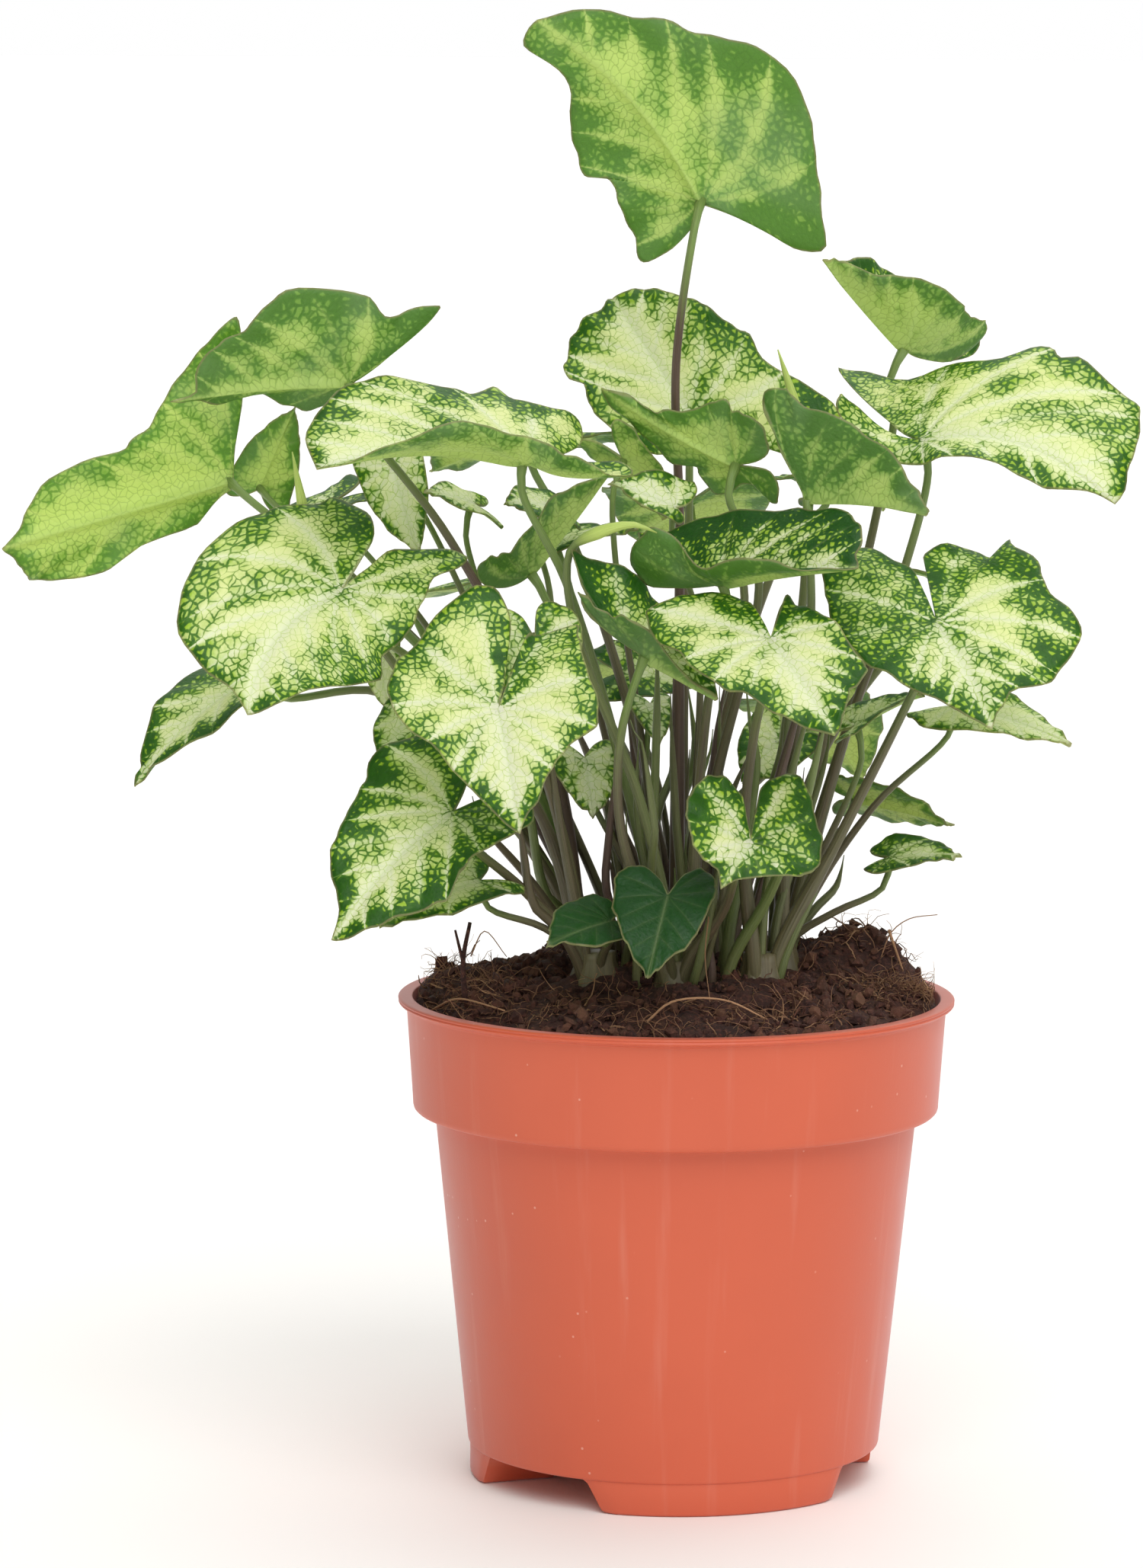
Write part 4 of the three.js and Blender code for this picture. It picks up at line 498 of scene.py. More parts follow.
def basis(ahead, up):
    x = unit(ahead)
    z = unit(np.asarray(up, float) - x * np.dot(x, up))
    return np.stack([x, np.cross(z, x), z], 1)


def complete_leaf(leaf, number):
    """Adds a leaf's name, its midrib's length ahead of the stalk, the turn to its place, and its stalk."""
    leaf.name, leaf.seed, leaf.front = f"leaf_{number:02d}", number, 1.0
    one, left = np.array([1.0]), np.array([True])
    leaf.front = math.dist(leaf.tip, leaf.junction) / np.linalg.norm(midrib(leaf, one, left)[0])
    own = basis(midrib(leaf, one * leaf.front, left)[0][0], (0, 0, 1))
    leaf.turn = basis(np.subtract(leaf.tip, leaf.junction), leaf.facing) @ own.T
    leaf.stalk = curve_through(stalk_route(leaf), STALK.step)


def vein_field(leaf, x, y):
    """Which side vein a flat place lies on, as a running number, and how far apart the veins are there.

    Ahead of the stalk the side veins leave the midrib at an angle and bow forward; behind it they fan out.
    """
    lean, fan = math.radians(VEINS.lean), math.radians(VEINS.lobe_lean)
    ahead = x - VEINS.bow * y ** 2
    start = ahead - np.abs(y) / math.tan(lean)
    gap = leaf.front / VEINS.count
    number = np.where(start > 0, start / gap, -(np.arctan2(np.abs(y), ahead) - lean) / fan)
    return number, np.where(start > 0, gap * math.sin(lean), fan * np.hypot(x, y))


def relief(leaf, x, margin, centre, number):
    """How far the lamina stands up between its veins, and how far the midrib stands out underneath."""
    size = max(leaf.half)
    between = 0.5 - 0.5 * np.cos(ROUND * number)
    pucker = RELIEF.pucker * size * between * smoothstep(margin, 0, RELIEF.pucker_margin * size)
    pucker = pucker * smoothstep(centre, 0.5, RELIEF.pucker_midrib * size)
    groove = RELIEF.groove * size * np.exp(-(centre / RELIEF.groove_width) ** 2)
    groove = groove * smoothstep(margin, 0, RELIEF.groove_margin)
    along = np.clip(x / leaf.front, 0, 1)
    rib = np.where(x > -RELIEF.rib_behind, 1, 0) * (RELIEF.rib * size * (1 - along) ** 0.8 + RELIEF.least_rib)
    width = RELIEF.rib_width * size * (1 - 0.7 * along) + RELIEF.least_width
    return pucker - groove, rib * np.exp(-(centre / width) ** 2)


def make_blade(leaf, material):
    """A thin closed shell: lamina puckered between its veins, with the midrib standing out underneath."""
    rays, rings = (count * 7 // 10 if leaf.small else count for count in (BLADE.rays, BLADE.rings))
    turn = np.append(0, np.repeat(np.arange(rays) / rays, rings))
    share = np.append(0, np.tile(np.arange(1, rings + 1) / rings, rays))
    edge = np.vstack([(BLADE.centre, 0), outline(leaf, turn[1:])])
    x, y = (edge * share[:, None]).T
    rim_turn = np.arange(2 * rays) / (2 * rays)
    rim, margin = outline(leaf, rim_turn), np.zeros(len(x))
    for half in (turn <= 0.5, turn > 0.5):
        near = rim[(rim_turn <= 0.5) == half[0]]
        margin[half] = np.min(np.hypot(x[half, None] - near[:, 0], y[half, None] - near[:, 1]), 1)
    centre = np.where(x > 0, np.abs(y), np.hypot(x, y))
    number, spacing = vein_field(leaf, x, y)

    length, seed = np.hypot(*edge.T), leaf.seed
    grown = smoothstep(length, *RIM.grows)
    nick = sum(np.sin(ROUND * count * turn + seed * count) for count in RIM.nicks) / len(RIM.nicks)
    edge = edge * (1 + RIM.nick * nick * grown / np.maximum(length, 1))[:, None]
    middle, normal = blade_surface(leaf, edge, turn, share)
    many, few = RIM.ruffles
    ruffle = np.sin(ROUND * many * turn + seed) * np.sin(ROUND * few * turn + 2 * seed)
    raised, rib = relief(leaf, x, margin, centre, number)
    middle = middle + normal * (RIM.ruffle * ruffle * share ** 5 * grown)[:, None]
    middle = middle + normal * raised[:, None]
    thick = BLADE.thickness * (1 - BLADE.thin_rim * share ** 8)
    top = middle + normal * (thick / 2)[:, None]
    under = middle - normal * (thick / 2 + rib)[:, None]

    count, shell, edges = len(middle), [], []
    for ray in range(rays):
        here, after = 1 + ray * rings, 1 + (ray + 1) % rays * rings
        shell.append((0, here, after))
        shell += [(here + ring, here + ring + 1, after + ring + 1, after + ring) for ring in range(rings - 1)]
        here, after = here + rings - 1, after + rings - 1
        edges.append((here, here + count, after + count, after))
    shell += [tuple(i + count for i in face[::-1]) for face in shell]
    leaf.skin = np.vstack([top, under]) @ leaf.turn.T + leaf.junction
    shape = Gather()
    shape.add(leaf.skin, shell + edges, flat=(x, y, seed * BLADE.seed_step), rib=(number, spacing, centre),
              rim=(margin / max(leaf.half), np.repeat([1.0, 0.0], count), margin),
              tone=(leaf.cream, leaf.glow, leaf.dark))
    shape.piece(leaf.name.replace("leaf", "blade"), material, "leaf", (leaf.name,))


# ---------------------------------------------------------------- stalks


def way_out(stem, towards):
    """Where a stalk starts inside a stem and where it leaves the crown, on the side of its next point."""
    at = np.array([*stem.at, 0.0])
    lean = (np.array(towards, float) - at) * (1, 1, 0)
    lean *= min(1, STALK.most_lean / max(np.linalg.norm(lean), TINY))
    return [at + (0, 0, STALK.foot_z) + lean * STALK.foot_lean,
            at + (0, 0, stem.top - 1) + lean * STALK.collar_lean]


def stalk_route(leaf):
    """The points that a leaf's stalk passes, from inside the stem's crown to the blade's underside."""
    normal = leaf.turn[:, 2]
    seat = np.array(leaf.junction, float) - normal * STALK.seat
    towards = unit(unit(np.array(leaf.via[-1]) - seat) - normal)
    return [*way_out(STEMS[leaf.stem], leaf.via[0]), *leaf.via, seat + towards * STALK.approach, seat]


def add_tube(shape, line, radius, flat, share, length, brown, seed, pale=0):
    """A tube with a stalk's layers: the share of the way and the distance along it, and its colours."""
    points, faces, _, turns = tube(line, radius, STALK.sides, flat)
    share, length, pale = (np.repeat(np.broadcast_to(value, len(line)), STALK.sides)
                           for value in (share, length, pale))
    shape.add(points, faces, stalk=(share, length, turns), tint=(brown, seed, pale))


def add_stalk(shape, leaf, rng):
    """One stalk: a sheathed foot, a slender middle and a short flare under the blade."""
    length = distances(leaf.stalk)
    share = length / length[-1]
    radius = STALK.tip + (STALK.base - STALK.tip) * (1 - share) ** STALK.taper
    low, high = STALK.sheath_end
    sheath = STALK.sheath * (1 - smoothstep(share, low, high + 0.1 * rng.random()))
    flare = STALK.flare * np.exp(-((length[-1] - length) / STALK.flare_length) ** 2)
    radius = (radius + sheath + flare) * (STALK.small if leaf.small else 1)
    add_tube(shape, leaf.stalk, radius, STALK.flat, share, length, leaf.brown, leaf.seed * STALK.seed_step)


def add_shoot(shape, own, near, blades, rng):
    """A rolled young leaf or an empty sheath that rises between two stalks and ends in a point.

    Returns whether there was room for it.
    """
    first, other = own[rng.integers(len(own))], near[rng.integers(len(near))]
    height, mix = rng.uniform(*SHOOTS.heights), rng.uniform(*SHOOTS.between)
    levels = np.linspace(STALK.foot_z, height, SHOOTS.rings)
    paths = [np.stack([np.interp(levels, line[:, 2], line[:, axis]) for axis in (0, 1)], 1)
             for line in (first, other)]
    share = np.linspace(0, 1, len(levels))
    away = rng.normal(size=2) * SHOOTS.stray * smoothstep(share, 0, 0.4)[:, None]
    line = np.column_stack([paths[0] * mix + paths[1] * (1 - mix) + away, levels])
    point = 1 - smoothstep(share, SHOOTS.point_from, 1) * SHOOTS.point
    radius = rng.uniform(*SHOOTS.thick) * (1 - SHOOTS.tapers * share) * point
    brown, seed = rng.uniform(*SHOOTS.brown), rng.random() * 90
    if min(blades.find(spot)[2] for spot in line) < SHOOTS.clear:
        return False
    add_tube(shape, line, radius, SHOOTS.flat, share * 0.75, levels - levels[0], brown, seed)
    return True


def add_spear(shape, stem, via):
    """A slender stalk that ends in a rolled young leaf with a fine point."""
    line = curve_through([*way_out(stem, (*stem.at, 0)), *via], STALK.step)
    length = distances(line)
    left = length[-1] - length
    rolled = smoothstep(left, SPEAR.length, SPEAR.length - SPEAR.unrolls)
    radius = SPEAR.stalk + SPEAR.base * (1 - length / length[-1]) ** STALK.taper
    radius = radius + rolled * (SPEAR.rolled - SPEAR.stalk)
    radius = radius * np.clip(left / SPEAR.taper, SPEAR.point, 1) ** 0.8
    share, seed = np.linspace(0, 1, len(line)), via[0][0]
    add_tube(shape, line, radius, STALK.flat, share, length, SPEAR.brown, seed, rolled)


def make_stem(name, leaves, blades, material):
    """A rippled stem in the soil with the stalks that grow from it."""
    stem, shape = STEMS[name], Gather()
    rng = np.random.default_rng(len(name) * 7 + stem.at[0])
    at = np.array([*stem.at, 0.0])
    heights = np.linspace(STEM.foot_z, stem.top + 1, STEM.rings)
    swell = 1 - STEM.narrows * smoothstep(heights, stem.top - STEM.shoulder, stem.top + 1)
    points, faces, share, turns = tube(at + np.outer(heights, (0, 0, 1)), stem.radius * swell * STEM.swell,
                                       STEM.sides)
    ripple = 1 + sum(high * np.sin(count * turns + phase + twist * points[:, 2])
                     for high, count, phase, twist in RIPPLES)
    centre = at + points * (0, 0, 1)
    shape.add(centre + (points - centre) * ripple[:, None], faces,
              stalk=(share * STEM.share, share * STEM.length, turns), tint=(STEM.brown, 1, 0))
    own = [leaf for leaf in leaves if leaf.stem == name]
    for leaf in own:
        add_stalk(shape, leaf, rng)
    near = [leaf.stalk for leaf in leaves if math.dist(STEMS[leaf.stem].at, stem.at) < SHOOTS.reach]
    placed = 0
    for _ in range(SHOOTS.tries * SHOOTS.count):
        if placed < SHOOTS.count:
            placed += add_shoot(shape, [leaf.stalk for leaf in own], near, blades, rng)
    if name in SPEARS:
        add_spear(shape, stem, SPEARS[name])
    shape.piece(name.replace("stem", "stalks"), material, "stalk", (name,))


# ---------------------------------------------------------------- materials


def rgb(red, green, blue):
    """A display colour from 0 to 255 as a linear one."""
    return tuple((c / 12.92 if c <= 0.04045 else ((c + 0.055) / 1.055) ** 2.4)
                 for c in (red / 255, green / 255, blue / 255)) + (1.0,)


class Value:
    """A node's output, for which sums and products can be written."""

    def __init__(self, graph, socket):
        self.graph, self.socket = graph, socket

    def __add__(self, other):
        return self.graph.math("ADD", self, other)

    def __sub__(self, other):
        return self.graph.math("SUBTRACT", self, other)

    def __mul__(self, other):
        return self.graph.math("MULTIPLY", self, other)


class Graph:
    """The nodes of a material or a world, made by calls that take numbers, colours or Values."""

    def __init__(self, owner):
        owner.use_nodes = True
        self.owner, self.tree = owner, owner.node_tree
        self.tree.nodes.clear()

    def connect(self, kind, inputs, **settings):
        made = self.tree.nodes.new(kind)
        for key, value in settings.items():
            setattr(made, key, value)
        for key, value in inputs.items():
            if isinstance(value, Value):
                self.tree.links.new(value.socket, made.inputs[key])
            else:
                made.inputs[key].default_value = value
        return made

    def node(self, kind, output, inputs, **settings):
        return Value(self, self.connect(kind, inputs, **settings).outputs[output])

    def math(self, operation, a, b=0.0, clamp=False):
        return self.node("ShaderNodeMath", 0, {0: a, 1: b}, operation=operation, use_clamp=clamp)

    def most(self, a, b):
        return self.math("MAXIMUM", a, b)

    def fall(self, distance, reach):
        """One at a distance of zero, falling off smoothly over the reach."""
        return self.math("EXPONENT", self.math("DIVIDE", distance, reach) * -1.0)

    def step(self, value, low, high, first=0.0, last=1.0):
        return self.node("ShaderNodeMapRange", "Result", {"Value": value, "From Min": low, "From Max": high,
                         "To Min": first, "To Max": last}, interpolation_type="SMOOTHSTEP")

    def mix(self, factor, a, b):
        """A mixture of two Values or display colours."""
        a, b = (colour if isinstance(colour, Value) else rgb(*colour) for colour in (a, b))
        return self.node("ShaderNodeMix", 2, {0: factor, 6: a, 7: b}, data_type="RGBA")

    def split(self, vector):
        return [Value(self, part) for part in self.connect("ShaderNodeSeparateXYZ", {0: vector}).outputs]

    def layer(self, name):
        """The three values of a point layer."""
        return self.split(self.node("ShaderNodeAttribute", "Vector", {}, attribute_name=name))

    def vector(self, x, y, z):
        return self.node("ShaderNodeCombineXYZ", 0, {0: x, 1: y, 2: z})

    def noise(self, where, scale, detail=3.0, rough=0.55, output=0):
        return self.node("ShaderNodeTexNoise", output, {"Vector": where, "Scale": scale, "Detail": detail,
                         "Roughness": rough})

    def bump(self, height, millimetres, strength=1.0):
        return self.node("ShaderNodeBump", 0, {"Strength": strength, "Distance": millimetres * MM,
                         "Height": height})

    def finish(self, colour, normal=None, through=0.0, light=None, **values):
        """The shader and the output. through is how much light passes, light is its colour."""
        bumped = {"Normal": normal} if normal else {}
        shader = self.node("ShaderNodeBsdfPrincipled", 0, {"Base Color": colour, **bumped, **values})
        if through:
            pass_on = self.node("ShaderNodeBsdfTranslucent", 0, {"Color": light, **bumped})
            shader = self.node("ShaderNodeMixShader", 0, {0: through, 1: shader, 2: pass_on})
        self.connect("ShaderNodeOutputMaterial", {"Surface": shader})
        return self.owner


def leaf_material():
    """Cream along the veins, a green net that closes to solid green, and a pale or brown line at the rim."""
    g = Graph(bpy.data.materials.new("leaf"))
    x, y, seed = g.layer("flat")
    number, spacing, centre = g.layer("rib")
    rim, upper, margin = g.layer("rim")
    cream, glow, dark = g.layer("tone")
    here = g.vector(x + seed * 3.0, y + seed * 5.0, seed)
    vein = g.math("ABSOLUTE", g.math("FRACT", number + 100.5) - 0.5) * spacing

    # The net's cells, with wandering edges.
    drift = g.noise(here, 0.55, 2.0, 0.5, output=1)
    drift = g.node("ShaderNodeVectorMath", 0, {0: drift, 1: (1.1, 1.1, 0)}, operation="MULTIPLY")
    wander = g.node("ShaderNodeVectorMath", 0, {0: here, 1: drift}, operation="ADD")
    cell, pick = (g.node("ShaderNodeTexVoronoi", output, {"Vector": wander, "Scale": 0.66},
                         voronoi_dimensions="2D", feature=feature)
                  for output, feature in (("Distance", "DISTANCE_TO_EDGE"), ("Color", "F1")))

    # How light the leaf is, from 0 for solid green to 1 for cream: patches, a star and the side veins' arms.
    side = g.vector(g.math("FLOOR", number + 100.5), g.math("SIGN", y) * 3.0, seed)
    strong = g.step(g.noise(side, 1.7, 0.0), 0.38, 0.6, 0.35, 1.0)
    inward = g.step(rim, 0.0, 0.45)
    star = g.fall(centre, inward * 5.2 + 0.5)
    arm = g.fall(vein, inward * 2.8 + 0.25) * strong
    field = cream * 0.62 + 0.17 + g.most(star, arm) * 0.75 * g.step(cream, -0.7, -0.3)
    field = field + (g.noise(here, 0.11, 2.0) - 0.5) * 1.5 + (g.noise(here, 0.36, 3.0, 0.6) - 0.5) * 0.9
    field = g.math("SUBTRACT", field, g.step(margin, 0.6, 5.0, 0.2, 0.0), clamp=True)

    # The upper side: cream or yellow green within the net, whose lines widen until they close.
    local = field + (g.node("ShaderNodeSeparateColor", 0, {0: pick}) - 0.5) * 0.24
    closing = g.math("POWER", g.math("SUBTRACT", 1.0, local, clamp=True), 2.0)
    width = closing * 0.46 + 0.01 + g.step(local, 0.12, 0.0, 0.0, 0.3)
    line = g.most(g.step(cell, width * 0.6, width + 0.06, 1.0, 0.0), g.step(cream, -0.3, -0.6))
    green = g.mix(field + g.noise(here, 0.4) * 0.5, (24, 68, 12), (82, 138, 30))
    green = g.mix(dark * 0.8, green, (20, 66, 30))
    net = g.mix(g.step(field, 0.5, 0.95), green, (206, 224, 132))
    glowing = g.most(g.fall(centre, 3.0), g.fall(vein, 1.3) * 0.85)
    palest = g.mix(glowing, (248, 252, 180), (255, 255, 236))
    top = g.mix(line, g.mix(g.step(local, 0.15, 0.9), (174, 212, 50), palest), net)
    midline = g.most(g.fall(centre, 0.3), g.fall(vein, 0.22) * 0.35 * g.step(rim, 0.02, 0.2))
    top = g.mix(midline * g.step(cream, -0.7, -0.3, 0.2, 0.5), top, (212, 224, 160))

    # The underside: the same pattern, paler and softer, under a bloom, with pale ribs.
    islands = g.mix(g.step(field, 0.2, 1.0), (136, 176, 84), (190, 212, 134))
    # Painted backlight: the underside's islands and net are painted lighter and more lime by the leaf's
    # backlight share, in place of light shining through the leaf.
    islands = g.mix(glow, islands, g.mix(g.step(field, 0.0, 0.9), (142, 190, 66), (196, 220, 120)))
    net = g.mix(glow, (84, 126, 58), (96, 150, 44))
    below = g.mix(line * g.step(field, 1.0, 0.2, 0.35, 0.85), islands, net)
    below = g.mix(g.step(cell, 0.12, 0.03) * 0.28, below, (80, 122, 50))
    below = g.mix(g.step(g.noise(here, 0.06, 1.0), 0.45, 0.7) * 0.3, below, (150, 176, 132))
    ribs = g.most(g.fall(centre, 0.9), g.fall(vein, 0.35) * 0.6 * g.step(rim, 0.02, 0.25))
    below = g.mix(ribs * 0.6, below, (176, 202, 116))

    edge = g.mix(g.noise(here, 0.15), (186, 190, 130), (128, 96, 76))
    colour = g.mix(g.step(margin, 0.5, 0.1) * 0.75, g.mix(upper, below, top), edge)
    height = cell * 0.12 + g.noise(here, 1.6, 4.0) * 0.16 + g.fall(vein, 0.5) * -0.14
    rough = g.step(g.noise(here, 0.5), 0.3, 0.7, 0.36, 0.5)
    light = g.mix(g.step(field, 0.1, 0.8), (118, 184, 28), (232, 246, 158))
    return g.finish(colour, g.bump(height, 1.0, 0.8), 0.34, light, Roughness=rough,
                    **{"Specular IOR Level": 0.36})


def stalk_material():
    """Leaf stalk: green under the blade, brown and purple lower down, with fine lines along it."""
    g = Graph(bpy.data.materials.new("stalk"))
    share, length, turn = g.layer("stalk")
    brown, seed, pale = g.layer("tint")
    around = g.vector(g.math("COSINE", turn) * 1.6, g.math("SINE", turn) * 1.6, length * 0.02 + seed)
    lines = g.noise(around, 3.0, 4.0)
    patches = g.noise(g.vector(length * 0.03, seed, turn), 1.0, 2.0)
    ripe = g.math("MULTIPLY", g.step(share, 0.97, 0.62) + (patches - 0.5) * 0.5, brown, clamp=True)
    green = g.mix(lines, (84, 116, 50), (144, 166, 90))
    colour = g.mix(ripe, green, g.mix(lines, (52, 42, 38), (122, 96, 82)))
    foot = g.mix(lines, (70, 64, 44), (150, 142, 98))
    colour = g.mix(g.step(share, 0.28, 0.05) * 0.55, colour, foot)
    colour = g.mix(pale, colour, g.mix(lines, (146, 178, 62), (214, 228, 134)))
    return g.finish(colour, g.bump(lines, 0.35, 0.7), Roughness=0.42)


def soil_material():
    """Peat with coir: near black in the hollows, red brown on the crumbs."""
    g = Graph(bpy.data.materials.new("soil"))
    shade, tone, _ = g.layer("earth")
    where = g.node("ShaderNodeTexCoord", "Object", {})
    fine = g.noise(where, 900.0, 5.0, 0.7)
    peat = g.mix(g.noise(where, 130.0), (24, 14, 15), (90, 52, 43))
    peat = g.mix(g.step(fine, 0.45, 0.75), peat, (116, 70, 56))
    coir = g.mix(tone, (104, 58, 44), (206, 158, 118))
    return g.finish(g.mix(shade, peat, coir), g.bump(fine, 1.2), Roughness=0.85)


def pot_material():
    """Moulded terracotta-coloured plastic with small pale specks and faint upright rub marks."""
    g = Graph(bpy.data.materials.new("pot"))
    where = g.node("ShaderNodeTexCoord", "Object", {})
    turn, height, _ = g.layer("wall")
    cloud = g.noise(where, 22.0)
    base = g.mix(cloud, (197, 86, 55), (212, 98, 66))
    rub = g.noise(g.vector(turn * 9.0, height * 0.012, 3.0), 1.0, 4.0)
    base = g.mix(g.step(rub, 0.55, 0.8) * 0.16, base, (226, 170, 154))
    speck = g.node("ShaderNodeTexVoronoi", "Distance", {"Vector": where, "Scale": 260.0})
    speck = g.step(speck, 0.1, 0.04) * g.step(g.noise(where, 60.0, 1.0), 0.56, 0.62)
    base = g.mix(speck * 0.5, base, (236, 190, 172))
    moulded = g.noise(where, 1500.0, 2.0) * 0.03 + g.noise(where, 60.0, 2.0) * 0.25
    dust = {"Sheen Weight": 0.22, "Sheen Roughness": 0.35, "Sheen Tint": rgb(214, 208, 224)}
    return g.finish(base, g.bump(moulded, 1.0, 0.5), Roughness=g.step(cloud, 0.3, 0.7, 0.36, 0.46), **dust)


# ---------------------------------------------------------------- pot


def lathe(profile, sides):
    """Points and faces of a closed profile of radius and height, turned about the axis where its ends lie."""
    rows, last = profile[1:-1], (len(profile) - 3) * sides
    points = [point for radius, height in rows for point in circle(radius, height, turns_round(sides))]
    points += [(0, 0, profile[0][1]), (0, 0, profile[-1][1])]
    faces = bands(len(rows), sides)
    for side in range(sides):
        after = (side + 1) % sides
        faces += [(len(points) - 2, after, side), (len(points) - 1, last + side, last + after)]
    return points, faces


def rounded(corners, steps=4):
    """A profile with its corners rounded. Each corner is a radius from the axis, a height and a rounding."""
    out = []
    for i, (x, z, r) in enumerate(corners):
        here = np.array([x, z], float)
        if r == 0:
            out.append(here)
            continue
        before, after = (unit(np.array(corners[i + way][:2]) - here) for way in (-1, 1))
        out += [here + before * r * (1 - t) ** 2 + after * r * t ** 2 for t in np.linspace(0, 1, steps)]
    return out


def inside(height):
    """Inner radius of the pot at a height: one wall within the outer surface."""
    low, high, bottom, top = FEET.height, POT.collar_z, POT.wall_bottom, POT.wall_top
    if height > POT.collar_z + POT.wall:
        low, high, bottom, top = POT.collar_z, POT.height, POT.collar_bottom, POT.collar_top
    return bottom + (top - bottom) * ((height - low) / (high - low)) - POT.wall


def ring_block(inner, outer, azimuth, spans, heights, insets, steps=28):
    """A closed block between two radii: a span of angle and an inset from its sides at each height."""
    points, ring = [], 2 * steps
    for span, height, inset in zip(spans, heights, insets):
        for radius, way in ((outer - inset, 1), (inner + inset, -1)):
            half = math.radians(span) / 2 - inset / radius
            for turn in np.linspace(-half, half, steps)[::way]:
                corner = 0.5 * (abs(turn) / half) ** 60
                points += circle(radius - way * corner, height, [math.radians(azimuth) + turn])
    faces = bands(len(heights), ring)
    for base, flip in ((0, -1), ((len(heights) - 1) * ring, 1)):
        faces += [(base + i, base + i + 1, base + ring - 2 - i, base + ring - 1 - i)[::flip]
                  for i in range(steps - 1)]
    return points, faces


def cut(target, tool, operation):
    """The target joined with the tool, or the tool cut from it, for good."""
    change = target.modifiers.new("cut", "BOOLEAN")
    change.operation, change.object, change.solver = operation, tool, "EXACT"
    bpy.context.view_layer.update()
    graph = bpy.context.evaluated_depsgraph_get()
    mesh = bpy.data.meshes.new_from_object(target.evaluated_get(graph))
    target.modifiers.clear()
    target.data = mesh
    bpy.data.objects.remove(tool)


def make_pot(material):
    """Wall, collar and beaded lip turned in one, three hollow feet, six drain holes in the floor."""
    top, lip, base, collar, wall = POT.height, POT.lip_radius, FEET.height, POT.collar_z, POT.wall
    low, shelf, floor = top - POT.lip_height, collar + wall, base + wall
    # From the middle of the underside up the wall, round the lip's bead and down the inside to the floor.
    pot = loose("pot_shell", *lathe(rounded([
        (0, base, 0), (POT.wall_bottom, base, 0.7), (POT.wall_top, collar - 1, 0.6),
        (POT.wall_top + 0.5, collar, 0.3), (POT.collar_bottom, collar, 1.1),
        (POT.collar_bottom + 0.1, collar + 2.2, 0.8), (POT.collar_top, low - 0.7, 0.5),
        (lip - 0.5, low - 0.2, 0.3), (lip - 0.05, low + 0.25, 0.25), (lip - 0.35, low + 0.6, 0.15),
        (lip, low + 0.85, 0.25), (lip - 0.3, top, 0.35), (inside(top), top, 0.4),
        (POT.collar_bottom - wall, shelf, 0.5), (inside(shelf), shelf, 0.5), (inside(floor), floor, 0.8),
        (0, floor, 0)]), POT.sides))
    heights = [0, 0.25, 0.8, base - 0.8, base + 0.3]
    grow = (FEET.top_span - FEET.bottom_span) / base
    spans = [FEET.bottom_span + grow * z for z in heights]
    spans[-1] += 2.4
    for foot in range(FEET.count):
        azimuth = FEET.first + foot * 360 / FEET.count
        block = ring_block(FEET.inner, FEET.outer, azimuth, spans, heights, (0.8, 0.3, 0, 0, 0))
        cut(pot, loose("foot", *block), "UNION")
        pocket = ring_block(FEET.inner + wall, FEET.outer - wall, azimuth,
                            (FEET.bottom_span - 5, FEET.top_span - 5), (FEET.floor, floor + 0.5), (0, 0))
        cut(pot, loose("pocket", *pocket), "DIFFERENCE")
    for x, y, _ in circle(POT.drain_at, 0, turns_round(POT.drains)):
        points, faces, _, _ = tube([(x, y, base - 1), (x, y, floor + 1)], POT.drain, 24)
        cut(pot, loose("drill", points, faces), "DIFFERENCE")
    pot.data.name = "pot_shell"
    at = np.empty(3 * len(pot.data.vertices))
    pot.data.vertices.foreach_get("co", at)
    x, y, z = ((at.reshape(-1, 3) - AXIS) / MM).T
    dress(pot, material, ("pot",), dict(wall=np.stack([np.arctan2(y, x), z, 0 * z], 1)))
    pot.data.set_sharp_from_angle(angle=math.radians(POT.sharp))


# ---------------------------------------------------------------- soil

# Heaps of loose soil over the mound: place, spread and height.
HEAPS = (((47, 12), 11, 7), ((36, 20), 10, 8), ((-46, 4), 9, 5), ((-38, -14), 8, 3), ((52, -8), 7, 4),
         ((14, 40), 14, 5), ((-20, 40), 12, 4), ((-53, 10), 6, 4))
# The crumbly surface is two noises: shift, width and height of each, then the roughness, spacing and octaves
# of both, and how fast they fade to the rim.
SWELLS = ((0, 7.0, 1.7), (90, 2.6, 0.9))
FRACTAL = (1.0, 2.1, 5)
FADE = (1.2, 0.35)
CRUMBS = Sizes(count=3400, sizes=(0.5, 0.8, 1.3, 2.1), shares=(0.4, 0.36, 0.19, 0.05), reach=0.97, clear=1,
               dents=(0.55, 1.25), squeeze=(0.5, 1.2), lift=(-0.2, 0.7), shades=(0, 0.25, 0.6), pale=0.3)
# Clumps of coir: place, spread and number of fibres.
CLUMPS = (((-44, -14), 10, 260), ((-30, -30), 12, 170), ((47, -6), 10, 280), ((40, 18), 9, 110),
          ((53, -8), 5, 110), ((24, -36), 12, 170), ((-4, -44), 16, 150), ((-50, 6), 6, 90),
          ((0, 10), 48, 150))
FIBRES = Sizes(steps=7, length=(3, 12), bend=0.35, fall=0.1, sizes=(0.09, 0.14, 0.24),
               shares=(0.5, 0.38, 0.12), spread=0.6, lift=(-0.5, 0.8), rise=(-0.1, 0.75), thin=0.4)
